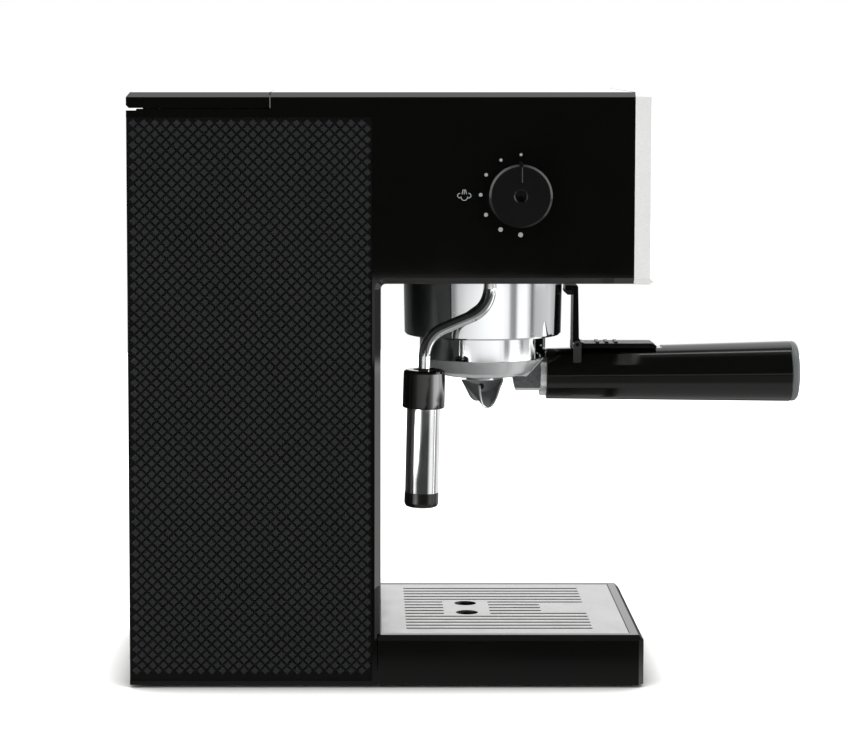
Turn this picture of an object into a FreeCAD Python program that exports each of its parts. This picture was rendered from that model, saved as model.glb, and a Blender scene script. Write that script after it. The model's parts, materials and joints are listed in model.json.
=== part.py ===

import FreeCAD, Part
import math
import os

# Slim counter-top espresso machine, built as an assembly of separate pieces.
# Millimetres. +Z is up and -Y is the front, where the user stands; Z = 0 is the counter.
# The casing is a tower at the rear that carries a head. The brew group hangs from the head over
# a drip tray, and the steam knob and the steam wand are on the -X side.
# Pieces are drawn with X = 0 on the casing's mid plane and Y = 0 half way between its rear face
# and the front panel. The export moves them so that the origin is the bottom centre of the box
# round the whole machine.

V = FreeCAD.Vector

# ---------------------------------------------------------------- driving dimensions
half_width = 75.0           # casing, mid plane to outer side face
depth_half = 136.5          # casing, Y = 0 to the rear face and to the front panel
top_z = 310.0               # top of the lid and cover
skirt_z = 1.5               # lower edge of the side panels and of the drip tray
head_z = 211.2              # underside of the head
tower_y = 5.7               # front face of the tower
panel_y = -124.8            # joint between the side panels and the front panel
cover_z = 298.2             # joint between the side panels and the top cover
lid_z = 301.9               # lower edge of the tank lid
lid_y = 62.9                # front edge of the tank lid
wall = 2.5                  # casing wall
sheet = 1.5                 # sheet metal and thin mouldings
side_depth = 6.0            # how far a side panel's rim reaches inwards
top_bevel = 2.5             # bevel along the top side edges
edge_bevel = 3.2            # bevel along the tower front and the head's lower edge
front_bevel = 3.5           # bevel round the front panel's face
corner_radius = 2.6         # rounding between tower and head
relief_depth = 0.7          # shallow field in the tower's sides that holds the diamond relief
relief_front = 10.2         # its front edge, lower edge and upper edge; it runs out at the rear
relief_low = 3.8
relief_high = 297.2

tray_front = -131.6         # drip tray, front face
tray_rear = 7.2             # drip tray, rear face
tray_top = 27.5             # drip tray, top of the rim
tray_bevel = 2.7
tray_rim = 4.2              # flat rim between the bevel and the grille
grille_slots = 15
slot_pitch = 7.87
slot_width = 2.6
slot_near_y = -8.0          # slots start here, behind the cup
slot_far_y = -106.3         # and end here, at the front

group_y = -50.0             # brew group axis, at X = 0
ring_radius = 34.0          # portafilter ring
ring_low_z = 166.4          # where the ring turns into the cone
bowl_z = 156.0              # underside of the portafilter bowl
bowl_top_z = 192.0          # rim of the portafilter bowl
basket_radius = 26.3        # 51 mm class filter basket, outer wall
cover_low_z = 178.6         # lower edge of the chrome group cover
cover_radius = 42.9         # chrome group cover at its top

handle_y = -84.4            # front face of the handle grip
handle_end_y = -216.7       # joint between grip and end cap
handle_z = 156.5            # grip axis at its front end
handle_rise = 1.3           # the axis rises by this much to its far end
handle_radius = 13.75
handle_end_radius = 16.4

wand_x = -56.0              # steam wand swivel axis
wand_y = -51.6
pipe_radius = 3.15
wand_lean = 0.0206          # slope of the lower wand, rearwards per mm down

knob_y = -65.5              # steam knob axis, along X
knob_z = 257.3
knob_radius = 16.2
spindle_radius = 3.0

button_z = 262.0            # row of push buttons on the front panel
button_x = {"power_button": -26.0, "brew_button": 0.0, "steam_button": 26.0}
button_radius = 7.8

tank_centre_y = 98.5

origin_x = -7.35            # bottom centre of the whole machine's box, as drawn
origin_y = -41.45
socket_clear = 0.2          # slip fit between plastic parts


# ---------------------------------------------------------------- shape helpers
def box(x0, x1, y0, y1, z0, z1):
    """Block between two corners."""
    return Part.makeBox(x1 - x0, y1 - y0, z1 - z0, V(x0, y0, z0))


def rod(start, direction, radius, length):
    """Solid cylinder from a start point along a direction."""
    return Part.makeCylinder(radius, length, V(*start), V(*direction))


def turned(x, y, profile):
    """Solid of revolution about a vertical axis; profile holds (radius, z) corners."""
    points = [V(x + r, y, z) for r, z in profile]
    face = Part.Face(Part.makePolygon(points + [points[0]]))
    return face.revolve(V(x, y, 0), V(0, 0, 1), 360)


def turned_about(origin, axis, profile):
    """Solid of revolution about any axis; profile holds (radius, distance along the axis)."""
    shape = turned(0, 0, profile)
    turn = FreeCAD.Rotation(V(0, 0, 1), V(*axis))
    shape.Placement = FreeCAD.Placement(V(*origin), turn)
    return shape


def prism(plane, points, low, high):
    """Polygon in the plane "yz", "xz" or "xy", extruded from low to high along the third axis."""
    place = {
        "yz": lambda a, b: V(low, a, b),
        "xz": lambda a, b: V(a, low, b),
        "xy": lambda a, b: V(a, b, low),
    }[plane]
    along = {"yz": V(1, 0, 0), "xz": V(0, 1, 0), "xy": V(0, 0, 1)}[plane]
    corners = [place(a, b) for a, b in points]
    face = Part.Face(Part.makePolygon(corners + [corners[0]]))
    return face.extrude(along * (high - low))


def bevel(shape, plane, corner, legs, low=-400.0, high=400.0):
    """Cuts a flat bevel off the edge that crosses the plane at the corner, with legs into the body."""
    (a, b), (da, db) = corner, legs
    past = 0.3
    far_a = (a + da * (1 + past), b - db * past)
    far_b = (a - da * past, b + db * (1 + past))
    outside = (a - da, b - db)
    return shape.cut(prism(plane, [far_a, far_b, outside], low, high))


def mirrored(shape):
    """The same piece for the other side of the machine."""
    return shape.mirror(V(0, 0, 0), V(1, 0, 0))


def path(points, bend):
    """Wire of straight runs joined by tangent arcs of the bend radius."""
    points = [V(*p) for p in points]
    edges = []
    here = points[0]
    for before, corner, after in zip(points, points[1:], points[2:]):
        back = (before - corner).normalize()
        on = (after - corner).normalize()
        half_turn = (math.pi - back.getAngle(on)) / 2
        reach = bend * math.tan(half_turn)
        start, end = corner + back * reach, corner + on * reach
        inwards = (back + on).normalize()
        middle = corner + inwards * (bend / math.cos(half_turn) - bend)
        edges.append(Part.LineSegment(here, start).toShape())
        edges.append(Part.Arc(start, middle, end).toShape())
        here = end
    edges.append(Part.LineSegment(here, points[-1]).toShape())
    return Part.Wire(edges)


def tube(points, bend, radius, bore=0.0):
    """Round tube along a bent path, hollow when a bore radius is given."""
    line = path(points, bend)
    first = V(*points[0])
    heading = V(*points[1]) - first

    def swept(r):
        ring = Part.Wire([Part.Circle(first, heading, r).toShape()])
        return line.makePipeShell([ring], True, True)

    solid = swept(radius)
    return solid.cut(swept(bore)) if bore else solid


def fused(shapes):
    """One solid out of overlapping shapes."""
    whole = shapes[0].multiFuse(shapes[1:])
    return whole.removeSplitter()


def polar(radius, degrees, z):
    """Point on a circle round the group axis."""
    turn = math.radians(degrees)
    return (radius * math.cos(turn), group_y + radius * math.sin(turn), z)


# ---------------------------------------------------------------- casing
def side_outline():
    """Tower and head in side view, with the rounded inner corner, as a closed wire at X = 0."""
    r = corner_radius
    cy, cz = tower_y - r, head_z - r
    q = r * math.sqrt(0.5)
    corners = [
        V(0, tower_y, cz),
        V(0, tower_y, skirt_z),
        V(0, depth_half, skirt_z),
        V(0, depth_half, cover_z),
        V(0, panel_y, cover_z),
        V(0, panel_y, head_z),
        V(0, cy, head_z),
    ]
    edges = [Part.LineSegment(a, b).toShape() for a, b in zip(corners, corners[1:])]
    edges.append(Part.Arc(V(0, cy, head_z), V(0, cy + q, cz + q), V(0, tower_y, cz)).toShape())
    return Part.Wire(edges)


def side_panel():
    """Right-hand (+X) side panel: a shallow moulded tray with bevelled front edges."""
    plate = Part.Face(side_outline()).extrude(V(side_depth, 0, 0))
    plate.translate(V(half_width - side_depth, 0, 0))
    small = 0.01

    def on_bevelled_edge(edge):
        middle = edge.valueAt((edge.FirstParameter + edge.LastParameter) / 2)
        outer = abs(middle.x - half_width) < small and edge.BoundBox.XLength < small
        low_front = middle.y < tower_y + small and middle.z < head_z + small
        on_joint = edge.BoundBox.YMax < panel_y + small
        at_bottom = edge.BoundBox.ZMax < skirt_z + small
        return outer and low_front and not on_joint and not at_bottom

    plate = plate.makeChamfer(edge_bevel, [e for e in plate.Edges if on_bevelled_edge(e)])
    seat_y = tray_rear + 0.4
    foot_z = tray_top - tray_bevel
    filler = box(half_width - edge_bevel, half_width, seat_y, seat_y + edge_bevel, skirt_z, foot_z)
    plate = fused([plate, filler])
    plate = plate.cut(box(0, 100, tower_y - 1, seat_y, 0, tray_top + 0.5))
    inner = [
        (tower_y + wall, skirt_z + wall),
        (depth_half - wall, skirt_z + wall),
        (depth_half - wall, cover_z - wall),
        (panel_y + wall, cover_z - wall),
        (panel_y + wall, head_z + wall),
        (tower_y + wall, head_z + wall),
    ]
    plate = plate.cut(prism("yz", inner, half_width - side_depth - 1, half_width - wall))
    field = box(half_width - relief_depth, half_width + 1, relief_front, depth_half + 1,
                relief_low, relief_high)
    return plate.cut(field)


def left_side_panel():
    """Left-hand panel, with the hole for the steam valve spindle."""
    panel = mirrored(side_panel())
    hole = rod((-half_width - 1, knob_y, knob_z), (1, 0, 0), spindle_radius + 1.5, wall + 2)
    return panel.cut(hole)


inner_x = half_width - side_depth       # pieces between the two side panels reach this far


def tower_front_panel():
    """Flat splash panel of the tower, above the drip tray."""
    return box(-inner_x, inner_x, tower_y, tower_y + wall, tray_top + 0.5, head_z + wall)


def head_underside_panel():
    """Closes the head from below, with openings for the group and the wand socket."""
    plate = box(-inner_x, inner_x, panel_y, tower_y, head_z, head_z + wall)
    plate = plate.cut(rod((0, group_y, head_z - 1), (0, 0, 1), skirt_radius + 0.4, wall + 2))
    return plate.cut(rod((wand_x, wand_y, head_z - 1), (0, 0, 1), socket_flange + 0.2, wall + 2))


rear_screw_spots = [(-60.0, 14.0), (60.0, 14.0), (-60.0, 290.0), (60.0, 290.0)]
screw_head = (3.0, 1.2)     # radius, height
screw_shank = (1.5, 5.0)    # radius, length overall
gland_x, gland_z = 44.0, 30.0
gland_radius = 8.0
gland_bore = 3.8


def rear_panel():
    """Back of the tower, with air slots, screw seats and the hole for the cord gland."""
    plate = box(-inner_x, inner_x, depth_half - wall, depth_half, 3.0, cover_z)
    for row in range(9):
        z = 58.0 + row * 6.0
        plate = plate.cut(box(-32, 32, depth_half - wall - 1, depth_half + 1, z, z + 2.6))
    for x, z in rear_screw_spots:
        seat = (x, depth_half + 1, z)
        plate = plate.cut(rod(seat, (0, -1, 0), screw_head[0] + 0.2, 1 + screw_head[1]))
        plate = plate.cut(rod(seat, (0, -1, 0), screw_shank[0], wall + 2))
    return plate.cut(rod((gland_x, depth_half + 1, gland_z), (0, -1, 0), gland_radius, wall + 2))


def rear_screws():
    """Four pan-head screws that hold the rear panel."""
    head_r, head_h = screw_head
    shank_r, shank_l = screw_shank
    screws = []
    for x, z in rear_screw_spots:
        head = rod((x, depth_half, z), (0, -1, 0), head_r, head_h)
        shank = rod((x, depth_half - head_h, z), (0, -1, 0), shank_r, shank_l - head_h)
        cross = box(x - 1.6, x + 1.6, depth_half - 0.7, depth_half + 1, z - 0.3, z + 0.3)
        upright = box(x - 0.3, x + 0.3, depth_half - 0.7, depth_half + 1, z - 1.6, z + 1.6)
        screws.append(fused([head, shank]).cut(cross).cut(upright))
    return Part.makeCompound(screws)


def cord_gland():
    """Moulded bush in the rear panel that the mains lead passes through."""
    flange = 1.8
    profile = [
        (gland_bore, -8.0),
        (gland_radius - socket_clear, -8.0),
        (gland_radius - socket_clear, 0.0),
        (gland_radius + 2.0, 0.0),
        (gland_radius + 1.2, flange),
        (gland_bore, flange),
    ]
    return turned_about((gland_x, depth_half, gland_z), (0, 1, 0), profile)


def base_pan():
    """Floor of the tower, with the tongue that carries the drip tray and the front feet."""
    floor_z = 3.0
    rear = depth_half - wall
    front = tower_y + wall
    pan = box(-inner_x, inner_x, front, rear, floor_z, tray_top)
    pan = pan.cut(box(-inner_x + wall, inner_x - wall, front + wall, rear - wall,
                      floor_z + wall, tray_top + 1))
    for x, z in rear_screw_spots[:2]:
        pan = pan.fuse(box(x - 4, x + 4, rear - 7, rear, floor_z, z + 4))
        pan = pan.cut(rod((x, rear + 1, z), (0, -1, 0), screw_shank[0], 7.0))
    pan = pan.cut(rod((gland_x, rear + 1, gland_z), (0, -1, 0), gland_radius + 2.0, 14))
    tongue = box(-50, 50, -118, front, floor_z, floor_z + 3)
    for x in (-30.0, 0.0, 30.0):
        tongue = tongue.cut(box(x - 11, x + 11, -98, -4, floor_z - 1, floor_z + 1.2))
    return fused([pan, tongue])


def feet():
    """Four rubber feet."""
    spots = [(-40, -107), (40, -107), (-56, 121), (56, 121)]
    profile = [(0, 0), (8.2, 0), (9, 0.8), (9, 3.0), (0, 3.0)]
    return Part.makeCompound([turned(x, y, profile) for x, y in spots])


def top_cover():
    """Top of the head, with the low rim that frames the tank opening."""
    rim_z = lid_z - 0.5
    top = box(-half_width, half_width, panel_y, lid_y - 0.5, cover_z, top_z)
    for side in (-1, 1):
        top = bevel(top, "xz", (side * half_width, top_z), (-side * top_bevel, -top_bevel))
    hollow_x = half_width - wall
    top = top.cut(box(-hollow_x, hollow_x, panel_y - 1, lid_y - 0.5 - wall, 290, top_z - wall))
    rim = box(-half_width, half_width, lid_y - 0.5, depth_half, cover_z, rim_z)
    rim = rim.cut(box(-80, 80, depth_half - 5.2, 140, rim_z - 0.7, rim_z + 1))
    cover = fused([top, rim])
    return cover.cut(box(-66.5, 66.5, 65.5, 131.5, cover_z - 1, rim_z + 1))


def front_panel():
    """Shallow metal-look front cover with bevelled edges, button holes and board posts."""
    front = -depth_half
    low, high = head_z - 0.3, top_z + 0.2
    shell = box(-half_width, half_width, front, panel_y, low, high)
    for side in (-1, 1):
        edge = side * half_width
        shell = bevel(shell, "xy", (edge, front), (-side * 2.8, front_bevel))
        shell = bevel(shell, "xz", (edge, high), (-side * top_bevel, -top_bevel))
        shell = bevel(shell, "xz", (edge, low), (-side * edge_bevel, edge_bevel))
    shell = bevel(shell, "yz", (front, high), (front_bevel - 1, -top_bevel))
    shell = bevel(shell, "yz", (front, low), (front_bevel, edge_bevel))
    inset = wall + 1.2
    shell = shell.cut(box(-half_width + inset, half_width - inset, front + wall, panel_y + 1,
                          low + inset, high - inset))
    posts = [rod((x, front + wall - 0.5, z), (0, 1, 0), 3.0, 11.5)
             for x in (-48, 48) for z in (242, 282)]
    shell = fused([shell] + posts)
    for x in button_x.values():
        shell = shell.cut(rod((x, front - 1, button_z), (0, 1, 0), button_radius + 0.25, 5))
        shell = shell.cut(rod((x, front - 1, button_z + 14), (0, 1, 0), lens_radius, 5))
    return shell


lens_radius = 1.4


def indicator_lenses():
    """Light pipes above the buttons."""
    pins = []
    for x in button_x.values():
        start = (x, -depth_half - 0.2, button_z + 14)
        pins.append(rod(start, (0, 1, 0), lens_radius, 11.0))
    return Part.makeCompound(pins)


# ---------------------------------------------------------------- electrics and water path
board_y = -depth_half + wall + 11.0     # front face of the control board


def control_board():
    """Printed board behind the buttons, with its relays on the rear face."""
    plate = box(-55, 55, board_y, board_y + 1.6, 236, 288)
    relays = [box(x, x + 15, board_y + 1.6, board_y + 12, 240, 258) for x in (-50, 30)]
    return fused([plate] + relays)


def button_switches():
    """Tact switches on the board, one behind each button."""
    bodies = []
    for x in button_x.values():
        body = box(x - 3, x + 3, board_y - 2.0, board_y, button_z - 3, button_z + 3)
        cap = rod((x, board_y - 2.0, button_z), (0, -1, 0), 1.6, 0.8)
        bodies.append(fused([body, cap]))
    return Part.makeCompound(bodies)


def power_board():
    """Mains board at the foot of the tower."""
    board = box(-46, 30, 116, 117.6, 12, 96)
    parts = [
        box(-40, -16, 102, 116, 18, 44),
        rod((-28, 116, 66), (0, -1, 0), 7.0, 22),
        box(0, 22, 106, 116, 60, 80),
    ]
    return fused([board] + parts)


def chassis_frame():
    """Sheet-metal frame: the deck that carries the brew group, and its two legs."""
    deck_z = 224.0
    deck = box(-66, 66, -112, 58, deck_z, deck_z + sheet)
    deck = deck.cut(rod((0, group_y, deck_z - 1), (0, 0, 1), neck_radius + 0.2, 4))
    deck = deck.cut(box(-15, 15, 18, 60, deck_z - 1, deck_z + 4))
    deck = deck.cut(rod((wand_x, wand_y, deck_z - 1), (0, 0, 1), 9.0, 4))
    for turn in bolt_angles:
        deck = deck.cut(rod(polar(bolt_circle, turn, deck_z - 1), (0, 0, 1), bolt_radius, 4))
    legs = [box(x, x + sheet, 12, 58, 5.5, deck_z + sheet) for x in (-66, 66 - sheet)]
    ties = [box(-66, 66, 12, 12 + sheet, z, z + 14) for z in (78, 150)]
    return fused([deck] + legs + ties)


def pump():
    """Vibration pump: coil block with the piston tube through it, upright in the tower."""
    x, y = 0.0, 38.0
    block = box(x - 24, x + 24, y - 19, y + 19, 98, 138)
    body = turned(x, y, [(0, 66), (6, 66), (6, 74), (11, 74), (11, 98), (11, 138),
                         (13, 138), (13, 160), (6, 160), (6, 170), (0, 170)])
    ports = [rod((x, y, 58), (0, 0, 1), 3.0, 9), rod((x, y, 169), (0, 0, 1), 3.0, 10)]
    return fused([block, body] + ports)


def pump_mounts():
    """Rubber blocks that hold the pump off the frame's cross ties."""
    shapes = []
    for z in (78, 150):
        block = box(-16, 16, 12 + sheet, 38, z + 2, z + 12)
        shapes.append(block.cut(rod((0, 38, z), (0, 0, 1), 13.0 if z > 100 else 11.0, 20)))
    return Part.makeCompound(shapes)


def suction_hose():
    """Silicone hose from the tank socket down and forward to the pump inlet."""
    points = [(0, tank_centre_y, 108.6), (0, tank_centre_y, 44), (0, 38, 44), (0, 38, 65.6)]
    return tube(points, 13.0, 4.6, 3.0)


def pressure_hose():
    """Pressure hose from the pump up through the deck and forward to the boiler."""
    points = [(0, 38, 172.0), (0, 38, 297), (0, -32, 297), (0, -32, 285.2)]
    return tube(points, 8.0, 4.6, 3.0)


def tank_well():
    """Moulded well that the water tank drops into."""
    outer = box(-67.5, 67.5, 64.5, 132.5, 112, cover_z)
    well = outer.cut(box(-66, 66, 66, 131, 114, cover_z + 1))
    well = well.cut(rod((0, tank_centre_y, 110), (0, 0, 1), 8.0, 6))
    for x, z in rear_screw_spots[2:]:
        boss = rod((x, depth_half - wall, z), (0, -1, 0), 4.0, 2.0)
        well = well.fuse(boss).cut(rod((x, 135, z), (0, -1, 0), screw_shank[0], 3.5))
    return well.removeSplitter()


def tank_socket():
    """Valve socket in the floor of the well: a spigot above, a hose tail below."""
    profile = [(1.8, 103), (3.0, 103), (3.0, 109), (11, 109), (11, 112), (8.0, 112),
               (8.0, 114.0), (4.6, 114.0), (4.6, 118.2), (3.9, 118.2), (3.9, 119.4),
               (4.6, 119.4), (4.6, 121), (1.8, 121)]
    return turned(0, tank_centre_y, profile)


def socket_o_ring():
    """O-ring in the spigot's groove."""
    ring = Part.makeTorus(4.48, 0.57)
    ring.translate(V(0, tank_centre_y, 118.8))
    return ring


# ---------------------------------------------------------------- brew group
skirt_radius = 41.2         # bayonet skirt, outside
lug_radius = 34.6           # bayonet lugs, inside
ear_radius = 38.6           # portafilter ears, outside
ear_low_z, ear_high_z = 185.2, 189.4
ear_half_angle = 20.0
gap_half_angle = 24.0
unlock_angle = 45.0
neck_radius = 29.5
bolt_circle = 36.3
bolt_radius = 2.0
bolt_angles = (45, 135, 225, 315)


def sector(radius, centre_angle, half_angle, z0, z1):
    """Wedge of a disc round the group axis."""
    wedge = Part.makeCylinder(radius, z1 - z0, V(0, group_y, z0), V(0, 0, 1), 2 * half_angle)
    wedge.rotate(V(0, group_y, 0), V(0, 0, 1), centre_angle - half_angle)
    return wedge


def group_head():
    """Cast brew head: flange, water way, gasket groove and the bayonet skirt with two lugs."""
    body = turned(0, group_y, [
        (2.0, 194), (26.6, 194), (26.6, 199), (31.9, 199), (31.9, 194.5), (39.2, 194.5),
        (39.2, 184.8), (lug_radius, 184.8), (lug_radius, 180.2), (skirt_radius, 180.2),
        (skirt_radius, 224), (neck_radius, 224), (neck_radius, 225.5), (2.0, 225.5),
    ])
    for ear in (0, 180):
        body = body.cut(sector(39.2, ear - unlock_angle, gap_half_angle, 180, 184.9))
    for turn in bolt_angles:
        body = body.cut(rod(polar(bolt_circle, turn, 214), (0, 0, 1), bolt_radius, 12))
    return body


def boiler():
    """Upper boiler shell with its flange and flat top."""
    body = turned(0, group_y, [
        (0, 225.5), (40, 225.5), (40, 230), (33, 230), (33, 274), (29, 280), (24, 283), (0, 283),
    ])
    cavity = turned(0, group_y, [(0, 227), (29, 227), (29, 273), (26, 277), (0, 279)])
    body = body.cut(cavity)
    body = body.cut(rod((0, group_y, 224), (0, 0, 1), 2.0, 4))
    nipple = turned(0, -32, [(0, 278), (5.0, 278), (5.0, 285), (2.8, 285), (2.8, 288.8), (0, 288.8)])
    body = body.fuse(nipple).cut(rod((0, -32, 272), (0, 0, 1), 1.6, 20))
    for turn in bolt_angles:
        body = body.cut(rod(polar(bolt_circle, turn, 224), (0, 0, 1), bolt_radius, 8))
    return body


def boiler_bolts():
    """Hex bolts that clamp boiler, deck and group head together."""
    bolts = []
    for turn in bolt_angles:
        x, y, z = polar(bolt_circle, turn, 214)
        shank = rod((x, y, z), (0, 0, 1), bolt_radius, 16)
        corners = [(x + 3.0 * math.cos(math.radians(60 * i)),
                    y + 3.0 * math.sin(math.radians(60 * i))) for i in range(6)]
        bolts.append(fused([shank, prism("xy", corners, 230, 233)]))
    return Part.makeCompound(bolts)


def heating_element():
    """Tube heater clamped round the boiler, with its two terminals."""
    radius, centre, z = 3.0, 36.2, 246.0
    start = V(*polar(centre, 120, z))
    end = V(*polar(centre, 60, z))
    turns = Part.Wire([Part.Arc(start, V(*polar(centre, 270, z)), end).toShape()])
    heading = V(-math.sin(math.radians(120)), math.cos(math.radians(120)), 0)
    ring = Part.Wire([Part.Circle(start, heading, radius).toShape()])
    coil = turns.makePipeShell([ring], True, True)
    tabs = []
    for turn, way in ((120, -1), (60, 1)):
        x, y, _ = polar(centre, turn, z)
        tabs.append(rod((x, y, z), (0, 1, 0), 2.0, 12))
    return fused([coil] + tabs)


def thermostats():
    """Two disc thermostats on top of the boiler."""
    discs = []
    for x in (-15.0, 15.0):
        body = rod((x, group_y - 6, 283), (0, 0, 1), 7.5, 6)
        blades = [box(x + dx - 0.4, x + dx + 0.4, group_y - 9, group_y - 3, 288, 296)
                  for dx in (-3.5, 3.5)]
        discs.append(fused([body] + blades))
    return Part.makeCompound(discs)


def group_gasket():
    """Rubber ring that seals on the basket rim."""
    return turned(0, group_y, [(26.8, 192.3), (31.7, 192.3), (31.7, 199), (26.8, 199)])


def shower_screen():
    """Perforated screen under the brew head."""
    disc = turned(0, group_y, [(2.2, 193.2), (25.6, 193.2), (25.6, 194), (2.2, 194)])
    for ring, count in ((8.0, 8), (14.0, 14), (20.0, 20)):
        for step in range(count):
            spot = polar(ring, 360.0 * step / count, 192)
            disc = disc.cut(rod(spot, (0, 0, 1), 0.8, 3))
    return disc


def screen_screw():
    """Countersunk screw that holds the shower screen."""
    return turned(0, group_y, [(0, 192.6), (4.6, 192.6), (4.2, 193.2), (2.2, 193.2),
                               (2.2, 194), (1.95, 194), (1.95, 204), (0, 204)])


def group_cover():
    """Polished ring that dresses the group below the head."""
    taper = 0.6
    return turned(0, group_y, [
        (cover_radius, head_z), (cover_radius - taper, cover_low_z + 0.9),
        (cover_radius - taper - 0.7, cover_low_z), (39.7, cover_low_z),
        (39.7, cover_low_z + 1.0), (skirt_radius + 0.15, cover_low_z + 1.5),
        (skirt_radius + 0.15, head_z),
    ])


# ---------------------------------------------------------------- steam side
socket_flange = 9.0
swivel_radius = 5.0


def steam_valve():
    """Brass steam valve beside the boiler, on the knob's axis."""
    body = box(-66, -45, knob_y - 10, knob_y + 20, knob_z - 10, knob_z + 11)
    neck = rod((-45.5, group_y - 4, knob_z), (1, 0, 0), 5.0, 20)
    neck = neck.cut(rod((0, group_y, 200), (0, 0, 1), 33.1, 90))
    body = fused([body, neck])
    body = body.cut(rod((-67, knob_y, knob_z), (1, 0, 0), spindle_radius + 0.05, 17))
    return body.cut(rod((wand_x, wand_y, knob_z - 11), (0, 0, 1), 1.8, 12))


def steam_tube():
    """Short riser between the valve and the wand socket."""
    return turned(wand_x, wand_y, [(1.8, 224.2), (3.4, 224.2), (3.4, knob_z - 10), (1.8, knob_z - 10)])


def wand_socket():
    """Fixed half of the wand swivel, flush with the head's underside."""
    return turned(wand_x, wand_y, [
        (pipe_radius + 0.5, 210.6), (socket_flange - 0.6, 210.6), (socket_flange, 211.2),
        (socket_flange, 213.7), (7.6, 213.7), (7.6, 221.4), (3.6, 221.4), (3.6, 219.4),
        (swivel_radius + 0.06, 219.4), (swivel_radius + 0.06, 213.2), (pipe_radius + 0.5, 213.2),
    ])


lean = math.atan(wand_lean)
wand_axis = (0.0, math.sin(lean), -math.cos(lean))
collar_top = (wand_x, -17.2, 165.0)     # where the frother collar begins


def along_wand(distance):
    """Point on the lower wand's axis, this far below the top of the collar."""
    return tuple(p + a * distance for p, a in zip(collar_top, wand_axis))


def steam_pipe():
    """Bent steam pipe with its swivel collar at the top."""
    slope = 0.43
    bend_y = along_wand(-17.2)[1]
    points = [
        (wand_x, wand_y, 223.0),
        (wand_x, wand_y, 197.0),
        (wand_x, bend_y, 197.0 - slope * (bend_y - wand_y)),
        along_wand(46.0),
    ]
    pipe = tube(points, 16.0, pipe_radius, 1.9)
    collar = turned(wand_x, wand_y, [(2.5, 213.5), (swivel_radius, 213.5),
                                     (swivel_radius, 219.1), (2.5, 219.1)])
    return fused([pipe, collar])


def nozzle_core():
    """Rubber core at the end of the pipe that the frother grips."""
    bore = pipe_radius + 0.02
    profile = [(bore, 0.3), (5.8, 0.3), (5.8, 26.0), (4.6, 30.0), (4.6, 40.0), (bore, 44.0)]
    return turned_about(collar_top, wand_axis, profile)


collar_length = 20.0
sleeve_end = 64.7
frother_end = 72.6


def frother_collar():
    """Black grip of the frother, the part that is held to pull it off."""
    profile = [(6.0, 0), (9.4, 0), (10.5, 0.5), (10.95, 1.6), (11.1, collar_length - 0.6),
               (10.6, collar_length), (6.0, collar_length)]
    return turned_about(collar_top, wand_axis, profile)


def frother_sleeve():
    """Polished steel tube of the frother."""
    profile = [(7.9, collar_length), (8.7, collar_length), (8.75, sleeve_end), (7.9, sleeve_end)]
    return turned_about(collar_top, wand_axis, profile)


def frother_tip():
    """Black end ring of the frother, open for the steam."""
    profile = [(4.0, sleeve_end), (9.0, sleeve_end), (9.05, frother_end - 2.4),
               (8.3, frother_end - 0.7), (6.6, frother_end), (4.0, frother_end)]
    return turned_about(collar_top, wand_axis, profile)


def steam_knob():
    """Steam knob: bevelled disc with a raised pointer and a dimple on its axis."""
    back, face = 75.5, 89.0
    profile = [
        (spindle_radius, back), (knob_radius - 0.4, back), (knob_radius, back + 0.6),
        (knob_radius, face - 1.2), (knob_radius - 1.1, face), (3.6, face), (2.9, face - 0.6),
        (2.7, face - 3.0), (0, face - 3.4), (0, 85.0), (spindle_radius, 85.0),
    ]
    knob = turned_about((0, knob_y, knob_z), (-1, 0, 0), profile)
    pointer = box(-face - 0.7, -back - 4, knob_y - 1.0, knob_y + 1.0,
                  knob_z + 6.7, knob_z + knob_radius + 1.2)
    return fused([knob, pointer])


def valve_spindle():
    """Spindle from the knob into the steam valve."""
    return rod((-85, knob_y, knob_z), (1, 0, 0), spindle_radius, 34)


# ---------------------------------------------------------------- push buttons
def push_button(name):
    """Round button cap with its retaining flange and stem."""
    x = button_x[name]
    front = depth_half + 1.5
    stem_end = depth_half - wall - 6.2
    profile = [
        (0, stem_end), (2.6, stem_end), (2.6, depth_half - wall - 1.7),
        (9.2, depth_half - wall - 1.7), (9.2, depth_half - wall - 0.2),
        (button_radius, depth_half - wall - 0.2), (button_radius, front - 0.6),
        (button_radius - 0.6, front), (button_radius - 2.2, front), (0, front - 0.5),
    ]
    return turned_about((x, 0, button_z), (0, -1, 0), profile)


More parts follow.
